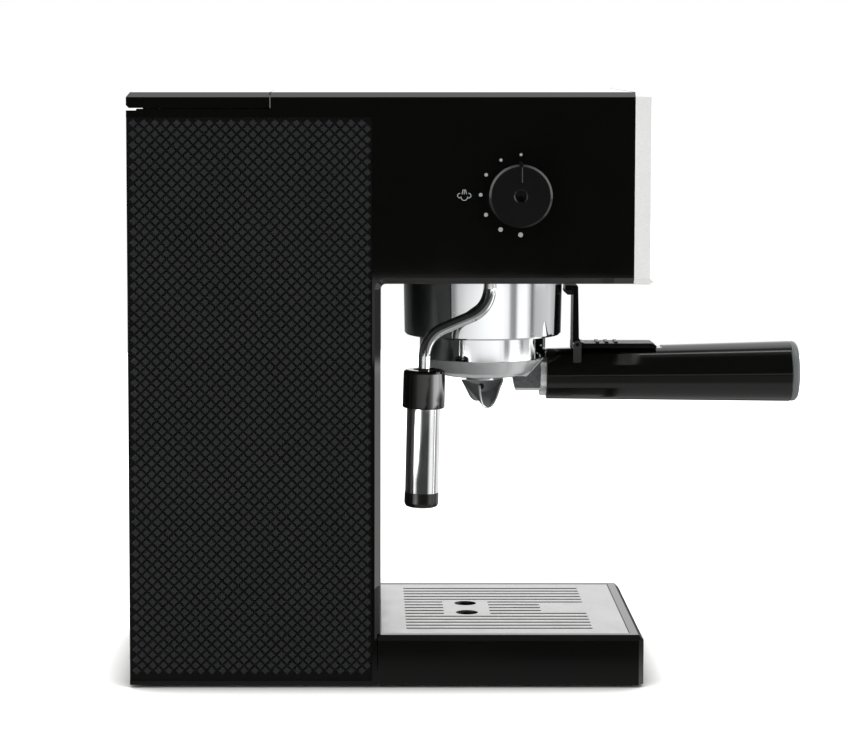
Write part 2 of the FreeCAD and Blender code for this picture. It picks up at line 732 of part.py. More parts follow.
# ---------------------------------------------------------------- portafilter
def portafilter_bowl():
    """Cast bowl with its ring, two bayonet ears, neck and handle flange."""
    bowl = turned(0, group_y, [
        (3.5, bowl_z), (20.5, bowl_z), (24.5, bowl_z + 0.9), (27.3, bowl_z + 2.8),
        (ring_radius - 0.3, ring_low_z - 0.5), (ring_radius, ring_low_z),
        (ring_radius, bowl_top_z), (31.2, bowl_top_z), (31.2, bowl_top_z - 1.4),
        (28.2, bowl_top_z - 1.4), (28.2, 162.5), (25, 159.5), (3.5, 159.5),
    ])
    ears = []
    for turn in (0, 180):
        ear = sector(ear_radius, turn, ear_half_angle, ear_low_z, ear_high_z)
        ears.append(ear.cut(rod((0, group_y, 180), (0, 0, 1), ring_radius - 1.0, 20)))
    neck = prism("yz", [(-66.0, 156.5), (-67.6, 148.2), (-82.0, 148.2), (-82.0, 166.0),
                        (-76.0, 166.0)], -9.0, 9.0)
    lower = [e for e in neck.Edges if e.BoundBox.ZMax < 149 and e.BoundBox.YLength > 5]
    neck = neck.makeFillet(1.4, lower)
    neck = neck.cut(rod((0, group_y, 159.5), (0, 0, 1), 28.2, 20))
    flange = rod((0, -81.0, handle_z), (0, -1, 0), 11.8, -handle_y - 81.2)
    flange = flange.cut(rod((0, group_y, 150), (0, 0, 1), 28.2, 50))
    boss = rod((0, group_y, 153.6), (0, 0, 1), 9.0, 3)
    boss = boss.cut(rod((0, group_y, 150), (0, 0, 1), 3.5, 8))
    return fused([bowl, neck, flange, boss] + ears)


def filter_basket():
    """Pressed steel basket, open at the top."""
    low = 168.0
    rim = basket_radius + 4.6
    thick = 0.8
    basket = turned(0, group_y, [
        (0, low), (basket_radius - 2, low), (basket_radius, low + 2),
        (basket_radius, bowl_top_z - 1.4), (rim, bowl_top_z - 1.4), (rim, bowl_top_z - 0.4),
        (basket_radius - thick, bowl_top_z - 0.4), (basket_radius - thick, low + 2.6),
        (basket_radius - 2.6, low + thick), (0, low + thick),
    ])
    return basket


def twin_spout():
    """Two-way coffee spout: a V-shaped trough that falls away to both sides."""
    top, half_top, tip = 153.6, 11.0, 137.0
    v_shape = [(group_y + half_top - 2.4, top), (group_y + half_top, top - 4.2),
               (group_y + 3.4, tip + 1.4), (group_y + 1.2, tip), (group_y - 1.8, tip),
               (group_y - 4.0, tip + 1.4), (group_y - half_top, top - 4.2),
               (group_y - half_top + 2.4, top)]
    body = prism("yz", v_shape, -17.0, 17.0)
    ends = []
    for side in (-1, 1):
        slope = [(side * 9.5, top + 1), (side * 30, top + 1), (side * 30, tip + 11.0),
                 (side * 17.6, tip + 7.0)]
        ends.append(prism("xz", slope, group_y - 20, group_y + 20))
        channel = [(side * 3.5, top - 3.4), (side * 21, top - 3.4), (side * 21, tip - 2),
                   (side * 10.5, tip - 2)]
        trough = prism("xz", channel, group_y - 4.6, group_y + 4.6)
        v_room = [(group_y + 8.4, top - 3.0), (group_y + 1.4, tip + 2.6),
                  (group_y - 1.6, tip + 2.6), (group_y - 8.4, top - 3.0)]
        room = prism("yz", v_room, min(side * 3.5, side * 21), max(side * 3.5, side * 21))
        ends.append(trough.common(room))
    notch = [(-8.0, tip - 1), (8.0, tip - 1), (0, top - 8.0)]
    ends.append(prism("xz", notch, group_y - 20, group_y + 20))
    for cutter in ends:
        body = body.cut(cutter)
    return body.cut(rod((0, group_y, tip), (0, 0, 1), 1.6, 20))


def handle_axis_point(y):
    """Centre of the grip at a given Y."""
    share = (y - handle_y) / (handle_end_y - handle_y)
    return V(0, y, handle_z + handle_rise * share)


def handle_grip():
    """Tapered round grip, with a flat seat on top for the press bar and its hinge lugs."""
    front, end = handle_axis_point(handle_y), handle_axis_point(handle_end_y)
    line = end - front
    grip = Part.makeCone(handle_radius, handle_end_radius, line.Length, front, line)
    rims = [e for e in grip.Edges if e.Curve.TypeId == "Part::GeomCircle"]
    grip = grip.makeFillet(0.6, rims)
    grip = grip.cut(box(-9.5, 9.5, -147.0, -96.5, bar_low_z - 0.25, 190))
    y, z = bar_pivot
    for x in (-12.2, 9.4):
        lug = box(x, x + 2.8, y - 2.2, y + 2.2, 160, z)
        grip = grip.fuse([lug, rod((x, y, z), (1, 0, 0), 2.2, 2.8)])
    grip = grip.cut(rod((-20, y, z), (1, 0, 0), bar_pin_radius, 40))
    grip = grip.cut(rod((0, handle_y + 1, handle_z), (0, -1, 0), tie_radius, 62))
    return grip.removeSplitter()


tie_radius = 3.0


def handle_tie_rod():
    """Threaded rod that screws the grip to the bowl's flange."""
    return rod((0, handle_y, handle_z), (0, -1, 0), tie_radius, 60)


def handle_end_cap():
    """Domed end cap of the grip."""
    front, end = handle_axis_point(handle_y), handle_axis_point(handle_end_y)
    axis = (end - front).normalize()
    profile = [(0, 0), (handle_end_radius - 0.25, 0), (handle_end_radius - 0.25, 0.5),
               (handle_end_radius - 0.1, 1.2), (handle_end_radius - 0.5, 2.6),
               (handle_end_radius - 1.7, 3.7), (handle_end_radius - 4.5, 4.3), (0, 4.5)]
    return turned_about(tuple(end), tuple(axis), profile)


bar_low_z = 171.2           # underside of the press bar's thumb plate
bar_thick = 2.6
bar_half = 9.0
bar_front_y = -98.5         # face of the upright arm towards the group
bar_pivot = (-100.6, 173.4)
bar_pin_radius = 1.0


def press_bar():
    """Bent bar that holds the basket in while the grounds are knocked out."""
    outer = [
        (-94.2, 205.2), (-100.6, 205.2), (-101.1, 204.5), (-101.7, 176.5), (-102.8, 174.5),
        (-105.0, bar_low_z + bar_thick), (-141.5, bar_low_z + bar_thick), (-143.6, bar_low_z + 1.2),
        (-143.6, bar_low_z), (bar_front_y + 0.2, bar_low_z), (bar_front_y, 202.6), (-94.2, 202.6),
    ]
    bar = prism("yz", outer, -bar_half, bar_half)
    for row in range(3):
        y = -112.0 - row * 5.0
        bar = bar.fuse(box(-6.0, 6.0, y - 0.9, y + 0.9, bar_low_z + 1, bar_low_z + bar_thick + 0.7))
    y, z = bar_pivot
    return bar.cut(rod((-bar_half - 1, y, z), (1, 0, 0), bar_pin_radius + 0.05, 30)).removeSplitter()


def press_bar_pad():
    """Rubber pad under the bar's tab."""
    back = bar_front_y + 0.02
    outline = [(-93.9, 202.6), (back, 202.6), (back, 199.9), (-95.6, 199.9), (-93.9, 201.4)]
    return prism("yz", outline, -6.5, 6.5)


def press_bar_pin():
    """Hinge pin of the press bar, held in two lugs on the grip."""
    y, z = bar_pivot
    return rod((-12.2, y, z), (1, 0, 0), bar_pin_radius, 24.4)


# ---------------------------------------------------------------- drip tray
def drip_tray():
    """Removable tray: outer skirt over an inner pan, with a ledge for the grille."""
    skirt = box(-half_width, half_width, tray_front, tray_rear, skirt_z, tray_top)
    for side in (-1, 1):
        edge = side * half_width
        skirt = bevel(skirt, "xz", (edge, tray_top), (-side * tray_bevel, -tray_bevel))
        skirt = bevel(skirt, "xy", (edge, tray_front), (-side * tray_bevel, tray_bevel))
    skirt = bevel(skirt, "yz", (tray_front, tray_top), (tray_bevel, -tray_bevel))
    under_x = half_width - wall
    pan_x = half_width - tray_bevel - tray_rim
    pan_y = tray_front + tray_bevel + tray_rim
    skirt = skirt.cut(box(-under_x, under_x, tray_front + wall, tray_rear + 1, 0, tray_top - 3.2))
    pan = box(-pan_x, pan_x, pan_y, tray_rear, 6.0, tray_top - 1)
    tray = fused([skirt, pan])
    inner_pan_x = pan_x - 2.2
    tray = tray.cut(box(-inner_pan_x, inner_pan_x, pan_y + 2.2, tray_rear - 4.0, 7.8, tray_top + 1))
    return tray.cut(box(-pan_x, pan_x, pan_y, tray_rear - 1.8, grille_low_z, tray_top + 1))


grille_low_z = 25.9


def drip_grille():
    """Steel grille with rows of slots and two finger holes."""
    gap = 0.4
    x = half_width - tray_bevel - tray_rim - gap
    front = tray_front + tray_bevel + tray_rim + gap
    plate = box(-x, x, front, tray_rear - 1.8 - gap, grille_low_z, tray_top - 0.1)
    holes_y = (-29.0, -54.0)
    blank_y = -82.0
    first = -slot_pitch * (grille_slots - 1) / 2
    for row in range(grille_slots):
        centre = first + row * slot_pitch
        spans = [(slot_far_y, slot_near_y)]
        if 5 <= row <= 9:
            spans = [(holes_y[0], slot_near_y), (slot_far_y, holes_y[1])]
        if 6 <= row <= 8:
            spans = [(holes_y[0], slot_near_y), (blank_y, holes_y[1])]
        for low, high in spans:
            plate = plate.cut(box(centre - slot_width / 2, centre + slot_width / 2, low, high,
                                  grille_low_z - 1, tray_top + 1))
    for side in (-1, 1):
        plate = plate.cut(rod((side * 12.7, sum(holes_y) / 2, 20), (0, 0, 1), 6.0, 10))
    return plate


# ---------------------------------------------------------------- water tank
tank_low_z = 114.0
tank_top_z = 300.0
lid_pivot = (133.0, 305.0)
lid_pin_radius = 1.25
ear_x = 58.0                # inner face of the tank's hinge ears


def water_tank():
    """Lift-out tank: open box with rounded corners, outlet boss and hinge ears for the lid."""
    outer = box(-64.5, 64.5, 67.5, 129.5, tank_low_z, tank_top_z)
    upright = [e for e in outer.Edges if e.BoundBox.ZLength > 100]
    outer = outer.makeFillet(7.0, upright)
    inner = box(-62.5, 62.5, 69.5, 127.5, tank_low_z + 2, tank_top_z + 1)
    upright = [e for e in inner.Edges if e.BoundBox.ZLength > 100]
    inner = inner.makeFillet(5.0, upright)
    tank = outer.cut(inner)
    boss = rod((0, tank_centre_y, tank_low_z), (0, 0, 1), 8.0, 10.2)
    tank = tank.fuse(boss).cut(rod((0, tank_centre_y, 110), (0, 0, 1), 5.4, 12.0))
    tank = tank.cut(rod((0, tank_centre_y, 110), (0, 0, 1), 3.0, 20.0))
    y, z = lid_pivot
    for x in (-ear_x - 3.0, ear_x):
        arm = prism("yz", [(127.6, 296.0), (128.9, 296.0), (128.9, z - 1.2), (y, z - 1.2),
                           (y, z + 2.0), (y - 3.0, z + 2.0), (127.6, z)], x, x + 3.0)
        tank = tank.fuse([arm, rod((x, y, z), (1, 0, 0), 2.0, 3.0)])
    tank = tank.cut(rod((-80, y, z), (1, 0, 0), lid_pin_radius, 160))
    return tank.removeSplitter()


def tank_valve():
    """Rubber flap valve over the tank's outlet."""
    top = tank_low_z + 10.2
    return turned(0, tank_centre_y, [(0, top - 2.0), (2.9, top - 2.0), (2.9, top), (7.4, top),
                                     (6.4, top + 1.2), (0, top + 2.0)])


def lid_hinge_pins():
    """Two hinge pins that carry the lid."""
    y, z = lid_pivot
    return Part.makeCompound([rod((x, y, z), (1, 0, 0), lid_pin_radius, 7.0)
                              for x in (-ear_x - 7.0, ear_x)])


def tank_lid():
    """Lid over the tank, level with the top cover, with hinge lugs inside."""
    lid = box(-half_width, half_width, lid_y, depth_half, lid_z, top_z)
    for side in (-1, 1):
        lid = bevel(lid, "xz", (side * half_width, top_z), (-side * top_bevel, -top_bevel))
    lid = bevel(lid, "yz", (depth_half, top_z), (-2.0, -top_bevel))
    lid = bevel(lid, "yz", (depth_half, lid_z), (-1.5, 1.5))
    hollow = half_width - wall
    lid = lid.cut(box(-hollow, hollow, lid_y + wall, depth_half - 1.2, 290, top_z - wall))
    y, z = lid_pivot
    for x in (-ear_x - 6.6, ear_x + 3.4):
        lug = fused([box(x, x + 3.2, y - 2.4, y + 2.4, z, top_z - wall + 0.5),
                     rod((x, y, z), (1, 0, 0), 2.4, 3.2)])
        lid = lid.fuse(lug)
    lid = lid.cut(rod((-66, y, z), (1, 0, 0), lid_pin_radius + 0.05, 132))
    return lid.removeSplitter()


# ---------------------------------------------------------------- export
pieces = {
    "left_side_panel": left_side_panel,
    "right_side_panel": side_panel,
    "tower_front_panel": tower_front_panel,
    "head_underside_panel": head_underside_panel,
    "rear_panel": rear_panel,
    "rear_screws": rear_screws,
    "cord_gland": cord_gland,
    "base_pan": base_pan,
    "feet": feet,
    "top_cover": top_cover,
    "front_panel": front_panel,
    "indicator_lenses": indicator_lenses,
    "control_board": control_board,
    "button_switches": button_switches,
    "power_board": power_board,
    "chassis_frame": chassis_frame,
    "pump": pump,
    "pump_mounts": pump_mounts,
    "suction_hose": suction_hose,
    "pressure_hose": pressure_hose,
    "tank_well": tank_well,
    "tank_socket": tank_socket,
    "socket_o_ring": socket_o_ring,
    "group_head": group_head,
    "boiler": boiler,
    "boiler_bolts": boiler_bolts,
    "heating_element": heating_element,
    "thermostats": thermostats,
    "group_gasket": group_gasket,
    "shower_screen": shower_screen,
    "screen_screw": screen_screw,
    "group_cover": group_cover,
    "steam_valve": steam_valve,
    "steam_tube": steam_tube,
    "wand_socket": wand_socket,
    "steam_pipe": steam_pipe,
    "nozzle_core": nozzle_core,
    "frother_collar": frother_collar,
    "frother_sleeve": frother_sleeve,
    "frother_tip": frother_tip,
    "steam_knob": steam_knob,
    "valve_spindle": valve_spindle,
    "portafilter_bowl": portafilter_bowl,
    "filter_basket": filter_basket,
    "twin_spout": twin_spout,
    "handle_grip": handle_grip,
    "handle_tie_rod": handle_tie_rod,
    "handle_end_cap": handle_end_cap,
    "press_bar": press_bar,
    "press_bar_pad": press_bar_pad,
    "press_bar_pin": press_bar_pin,
    "drip_tray": drip_tray,
    "drip_grille": drip_grille,
    "water_tank": water_tank,
    "tank_valve": tank_valve,
    "lid_hinge_pins": lid_hinge_pins,
    "tank_lid": tank_lid,
}
for button in button_x:
    pieces[button] = lambda name=button: push_button(name)

os.makedirs("parts", exist_ok=True)
for name, make in pieces.items():
    shape = make()
    shape.translate(V(-origin_x, -origin_y, 0))
    shape.exportStep(f"parts/{name}.step")
    print(f"{name}: {len(shape.Solids)} solid(s), {shape.Volume / 1000:.2f} cm3")
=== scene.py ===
import json
import math

import bmesh
import bpy
from mathutils import Matrix, Vector


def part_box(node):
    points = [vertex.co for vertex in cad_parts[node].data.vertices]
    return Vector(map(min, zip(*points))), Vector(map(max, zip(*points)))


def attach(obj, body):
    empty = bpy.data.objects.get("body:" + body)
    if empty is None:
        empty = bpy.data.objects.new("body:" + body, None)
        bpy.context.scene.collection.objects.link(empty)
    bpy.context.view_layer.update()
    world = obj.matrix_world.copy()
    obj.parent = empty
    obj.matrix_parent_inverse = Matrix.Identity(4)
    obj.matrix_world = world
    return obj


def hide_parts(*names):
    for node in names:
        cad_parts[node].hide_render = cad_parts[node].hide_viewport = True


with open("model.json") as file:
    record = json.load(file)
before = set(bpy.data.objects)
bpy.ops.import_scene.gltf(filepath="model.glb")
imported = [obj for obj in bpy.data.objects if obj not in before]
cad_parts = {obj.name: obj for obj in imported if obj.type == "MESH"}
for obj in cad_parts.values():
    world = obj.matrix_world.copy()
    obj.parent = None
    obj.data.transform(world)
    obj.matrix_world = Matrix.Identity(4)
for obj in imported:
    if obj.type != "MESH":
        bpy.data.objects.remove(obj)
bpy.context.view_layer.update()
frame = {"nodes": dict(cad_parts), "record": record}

# Espresso machine: black ABS casing with a moulded diamond relief, bead-blasted aluminium front,
# chrome brew group and a steel steam wand. Lengths are metres, and values in mm say so.

mm = 0.001
print("frame loaded:", len(frame["nodes"]), "parts")


# ---- colours and nodes

def linearColour(hexText):  # sRGB hex to the linear colour that shaders take
    channels = []
    for start in (1, 3, 5):
        value = int(hexText[start:start + 2], 16) / 255
        channels.append(value / 12.92 if value <= 0.04045 else ((value + 0.055) / 1.055) ** 2.4)
    return (*channels, 1.0)


def addNode(tree, kind, settings=None, values=None, links=None):  # one node, set up and wired
    node = tree.nodes.new(kind)
    for name, value in (settings or {}).items():
        setattr(node, name, value)
    for socket, value in (values or {}).items():
        node.inputs[socket].default_value = value
    for socket, source in (links or {}).items():
        tree.links.new(source, node.inputs[socket])
    return node


def newMaterial(name, metallic, socketValues=None):  # material with only its shader and coordinates
    material = bpy.data.materials.new(name)
    material.use_nodes = True
    tree = material.node_tree
    tree.nodes.clear()
    shader = addNode(tree, "ShaderNodeBsdfPrincipled", values={"Metallic": metallic})
    for socket, value in (socketValues or {}).items():
        shader.inputs[socket].default_value = value
    addNode(tree, "ShaderNodeOutputMaterial", links={"Surface": shader.outputs[0]})
    place = addNode(tree, "ShaderNodeTexCoord").outputs["Object"]
    return material, tree, shader, place


def surface(name, look):
    # One finish: two tones mottled together, roughness that wanders, and a fine texture in relief.
    # The texture's size is in mm, and stretch pulls it out along an axis for brushed metal.
    material, tree, shader, place = newMaterial(name, look.get("metallic", 0.0), look.get("sockets"))
    mottle = addNode(tree, "ShaderNodeTexNoise",
                     values={"Scale": 1000 / look.get("mottleMm", 25), "Detail": 4.0},
                     links={"Vector": place})
    tone = addNode(tree, "ShaderNodeMix", {"data_type": "RGBA"},
                   values={6: linearColour(look["tones"][0]), 7: linearColour(look["tones"][1])},
                   links={0: mottle.outputs[0]})
    stretched = addNode(tree, "ShaderNodeMapping",
                        values={"Scale": look.get("stretch", (1, 1, 1))}, links={"Vector": place})
    grain = addNode(tree, "ShaderNodeTexNoise",
                    values={"Scale": 1000 / look["grainMm"], "Detail": 3.0, "Roughness": 0.6},
                    links={"Vector": stretched.outputs[0]})
    if look.get("grainTone"):  # grain that shows as light and dark specks too
        speck = addNode(tree, "ShaderNodeMapRange", values={1: 0.3, 2: 0.7, 3: 1 - look["grainTone"], 4: 1.0},
                        links={0: grain.outputs[0]})
        tone = addNode(tree, "ShaderNodeMix", {"data_type": "RGBA", "blend_type": "MULTIPLY"},
                       values={0: 1.0}, links={6: tone.outputs[2], 7: speck.outputs[0]})
    if look.get("underBevel"):  # bevels that face down and out are duller and paler than the flats
        facing = addNode(tree, "ShaderNodeSeparateXYZ",
                         links={0: addNode(tree, "ShaderNodeNewGeometry").outputs["Normal"]})
        slanted = addNode(tree, "ShaderNodeMath", {"operation": "COMPARE"}, {1: -0.71, 2: 0.12},
                          {0: facing.outputs[2]})
        tone = addNode(tree, "ShaderNodeMix", {"data_type": "RGBA"}, {7: linearColour(look["underBevel"])},
                       {0: slanted.outputs[0], 6: tone.outputs[2]})
    tree.links.new(tone.outputs[2], shader.inputs["Base Color"])
    rough = addNode(tree, "ShaderNodeMapRange",
                    values={1: 0.3, 2: 0.7, 3: look["roughness"][0], 4: look["roughness"][1]},
                    links={0: mottle.outputs[0]})
    tree.links.new(rough.outputs[0], shader.inputs["Roughness"])
    relief = addNode(tree, "ShaderNodeBump",
                     values={"Strength": look["bump"], "Distance": look["grainMm"] * 0.15 * mm},
                     links={"Height": grain.outputs[0]})
    tree.links.new(relief.outputs[0], shader.inputs["Normal"])
    return material


finishes = {
    # injection-moulded ABS from a polished tool: deep black with a clean mirror on its flats
    "gloss_black": surface("polishedBlackAbs", {
        "tones": ("#030303", "#050504"), "roughness": (0.015, 0.03), "grainMm": 9.0, "bump": 0.001,
        "underBevel": "#202120",
        "sockets": {"IOR": 1.4, "Specular IOR Level": 0.4}}),
    # satin ABS panel behind the cups: soft grey-black sheen
    "splash_panel": surface("satinBlackAbs", {
        "tones": ("#1b1c1b", "#212221"), "roughness": (0.3, 0.36), "grainMm": 0.6, "bump": 0.1}),
    # polypropylene from an eroded tool: dull, fine-grained black
    "underside_black": surface("grainedBlackPp", {
        "tones": ("#0e0e0e", "#141414"), "roughness": (0.5, 0.6), "grainMm": 0.7, "bump": 0.35}),
    # ABS from an eroded tool: even leather-like spark texture on the back
    "rear_black": surface("sparkErodedAbs", {
        "tones": ("#121212", "#181818"), "roughness": (0.42, 0.52), "grainMm": 0.9, "bump": 0.45}),
    # zinc-plated screw steel: bluish grey with cloudy passivation
    "fastener_steel": surface("zincPlatedSteel", {
        "tones": ("#9da1a6", "#b9bcbf"), "metallic": 1.0, "roughness": (0.25, 0.4), "mottleMm": 3,
        "grainMm": 0.5, "bump": 0.1}),
    # polypropylene base: matt black with a moulded grain
    "base_black": surface("mouldedBlackPp", {
        "tones": ("#101010", "#161616"), "roughness": (0.55, 0.65), "grainMm": 1.0, "bump": 0.3}),
    # moulded EPDM rubber: very dull, slightly dusty black
    "rubber_black": surface("mouldedEpdmRubber", {
        "tones": ("#131313", "#1b1b1a"), "roughness": (0.65, 0.8), "grainMm": 0.5, "bump": 0.3}),
    # bead-blasted and clear-anodised aluminium: bright, even, faintly sparkling grain
    "satin_aluminium": surface("beadBlastedAluminium", {
        "tones": ("#d7d7d6", "#dddddd"), "metallic": 0.5, "roughness": (0.42, 0.5), "grainMm": 0.7,
        "grainTone": 0.12, "bump": 0.35}),
    # diffusing polycarbonate light guides: milky white
    "lens_white": surface("milkyPolycarbonate", {
        "tones": ("#dfe2e2", "#e9ebea"), "roughness": (0.3, 0.4), "grainMm": 1.0, "bump": 0.05,
        "sockets": {"Subsurface Weight": 0.2, "Subsurface Scale": 0.002}}),
    # glass-epoxy board under green solder resist: the weave shows faintly
    "circuit_board": surface("solderResistBoard", {
        "tones": ("#0f4a2c", "#176038"), "roughness": (0.3, 0.45), "grainMm": 0.8, "bump": 0.25}),
    # black nylon switch bodies: dry and matt
    "switch_black": surface("mouldedNylon", {
        "tones": ("#161616", "#202020"), "roughness": (0.5, 0.6), "grainMm": 0.6, "bump": 0.2}),
    # hot-dip galvanised sheet: grey with large soft spangles
    "frame_steel": surface("galvanisedSheet", {
        "tones": ("#8d9193", "#b4b8ba"), "metallic": 1.0, "roughness": (0.3, 0.5), "mottleMm": 7,
        "grainMm": 1.5, "bump": 0.1}),
    # glass-filled nylon pump: dark grey with a fibrous surface
    "pump_body": surface("glassFilledNylon", {
        "tones": ("#2b2c2e", "#3a3c3e"), "roughness": (0.45, 0.6), "grainMm": 0.8, "bump": 0.3}),
    # extruded silicone hose: cloudy, slightly yellow white
    "silicone": surface("cloudySilicone", {
        "tones": ("#cfcdc4", "#dddbd3"), "roughness": (0.35, 0.45), "grainMm": 2.0, "bump": 0.05,
        "sockets": {"Subsurface Weight": 0.4, "Subsurface Scale": 0.003}}),
    # grey polypropylene well: plain moulded surface
    "well_grey": surface("mouldedGreyPp", {
        "tones": ("#4a4c4e", "#545658"), "roughness": (0.4, 0.5), "grainMm": 1.0, "bump": 0.15}),
    # black acetal: smooth with a waxy sheen
    "socket_black": surface("blackAcetal", {
        "tones": ("#111111", "#171717"), "roughness": (0.25, 0.35), "grainMm": 1.0, "bump": 0.08}),
    # food-grade silicone seal: dull brick tone
    "gasket_rubber": surface("sealSilicone", {
        "tones": ("#2a2322", "#352c2a"), "roughness": (0.55, 0.65), "grainMm": 0.8, "bump": 0.1}),
    # die-cast aluminium: grey cast skin with fine pits
    "cast_aluminium": surface("dieCastAluminium", {
        "tones": ("#8f9192", "#a7a9aa"), "metallic": 1.0, "roughness": (0.4, 0.55), "mottleMm": 9,
        "grainMm": 0.9, "bump": 0.35}),
    # heater sheath: stainless darkened by heat, straw to brown
    "element_steel": surface("heatTintedSteel", {
        "tones": ("#6b6259", "#8b8378"), "metallic": 1.0, "roughness": (0.35, 0.5), "mottleMm": 12,
        "grainMm": 0.7, "bump": 0.15}),
    # steatite ceramic: off-white and dry
    "thermostat_ceramic": surface("steatiteCeramic", {
        "tones": ("#cfcabd", "#dcd7cb"), "roughness": (0.5, 0.6), "grainMm": 0.6, "bump": 0.15}),
    # satin stainless steel: neutral grey, fine rolled grain that runs along the machine
    "stainless": surface("satinStainless", {
        "tones": ("#b6b7b6", "#c1c2c1"), "metallic": 1.0, "roughness": (0.32, 0.42), "mottleMm": 14,
        "grainMm": 0.55, "stretch": (1, 0.35, 1), "grainTone": 0.16, "bump": 0.3}),
    # bright chrome plating on polished brass: cool mirror
    "chrome": surface("brightChrome", {
        "tones": ("#dadcdd", "#e2e4e5"), "metallic": 1.0, "roughness": (0.02, 0.05), "mottleMm": 30,
        "grainMm": 6.0, "bump": 0.0015}),
    # machined brass: warm yellow with turning marks
    "valve_brass": surface("machinedBrass", {
        "tones": ("#b8954e", "#c7a65f"), "metallic": 1.0, "roughness": (0.22, 0.35), "mottleMm": 6,
        "grainMm": 0.6, "stretch": (1, 0.2, 0.2), "bump": 0.15}),
    # electropolished stainless tube: mirror with slight draw lines
    "polished_steel": surface("electropolishedSteel", {
        "tones": ("#d5d6d6", "#dedfdf"), "metallic": 1.0, "roughness": (0.03, 0.07), "mottleMm": 20,
        "grainMm": 4.0, "bump": 0.002}),
    # soft nitrile core inside the frother
    "core_rubber": surface("mouldedNitrile", {
        "tones": ("#181817", "#20201f"), "roughness": (0.6, 0.7), "grainMm": 0.6, "bump": 0.2}),
    # phenolic grip: satin black that takes a soft streak of light
    "grip_black": surface("satinPhenolic", {
        "tones": ("#040403", "#060605"), "roughness": (0.09, 0.13), "grainMm": 0.8, "bump": 0.01}),
    # knob: fine-textured black ABS
    "knob_black": surface("satinKnobAbs", {
        "tones": ("#030303", "#050505"), "roughness": (0.2, 0.26), "grainMm": 0.5, "bump": 0.04,
        "sockets": {"Specular IOR Level": 0.3}}),
    # button caps: glossy black ABS
    "button_black": surface("polishedButtonAbs", {
        "tones": ("#0d0d0d", "#121212"), "roughness": (0.12, 0.18), "grainMm": 3.0, "bump": 0.03}),
    # painted end cap: satin mid grey
    "end_cap_grey": surface("satinGreyAbs", {
        "tones": ("#414546", "#494d4e"), "roughness": (0.35, 0.42), "grainMm": 0.6, "bump": 0.1}),
    # pressed stainless basket: satin with draw lines
    "basket_steel": surface("drawnStainless", {
        "tones": ("#b9bbbc", "#c6c8c9"), "metallic": 1.0, "roughness": (0.2, 0.3), "mottleMm": 8,
        "grainMm": 0.6, "stretch": (1, 1, 0.2), "bump": 0.12}),
    # cast and coated bar: near-black with a pebbled casting skin
    "bar_black": surface("coatedCasting", {
        "tones": ("#050505", "#0b0c0c"), "roughness": (0.25, 0.36), "mottleMm": 3, "grainMm": 0.8,
        "bump": 0.6, "sockets": {"Specular IOR Level": 0.05}}),
    # clear styrene acrylonitrile: faintly blue, see-through
    "clear_tank": surface("clearSan", {
        "tones": ("#dfe9ec", "#e9f1f3"), "roughness": (0.05, 0.1), "grainMm": 8.0, "bump": 0.03,
        "sockets": {"IOR": 1.57, "Transmission Weight": 0.85}}),
}


bowlLook = {
    "coneMm": (27.8, 158.8),    # the cone's radius, and the height where it has it
    "coneWidens": 0.88,         # how fast the radius grows with height
    "neckHalfMm": 9.4,          # half the neck's width
    "neckStartMm": 15.0,        # group axis to the neck's beginning
    "neckTopMm": 155.9,         # the casting skin shows everywhere below this height
    "neckBottomMm": 149.6,      # under this the neck is polished
    "satinTopMm": 166.1,        # the ring above this is a mirror
    "pebbleMm": 1.1,
    "pebbleDeepMm": 0.12,
    "pebbleTones": ("#343637", "#8e9192"),
    "tone": "#dcdedf",
    "roughness": {"mirror": 0.035, "satin": 0.22, "neck": 0.34},
    "satinScatter": 0.22,       # share of its light that the satin cone scatters
}


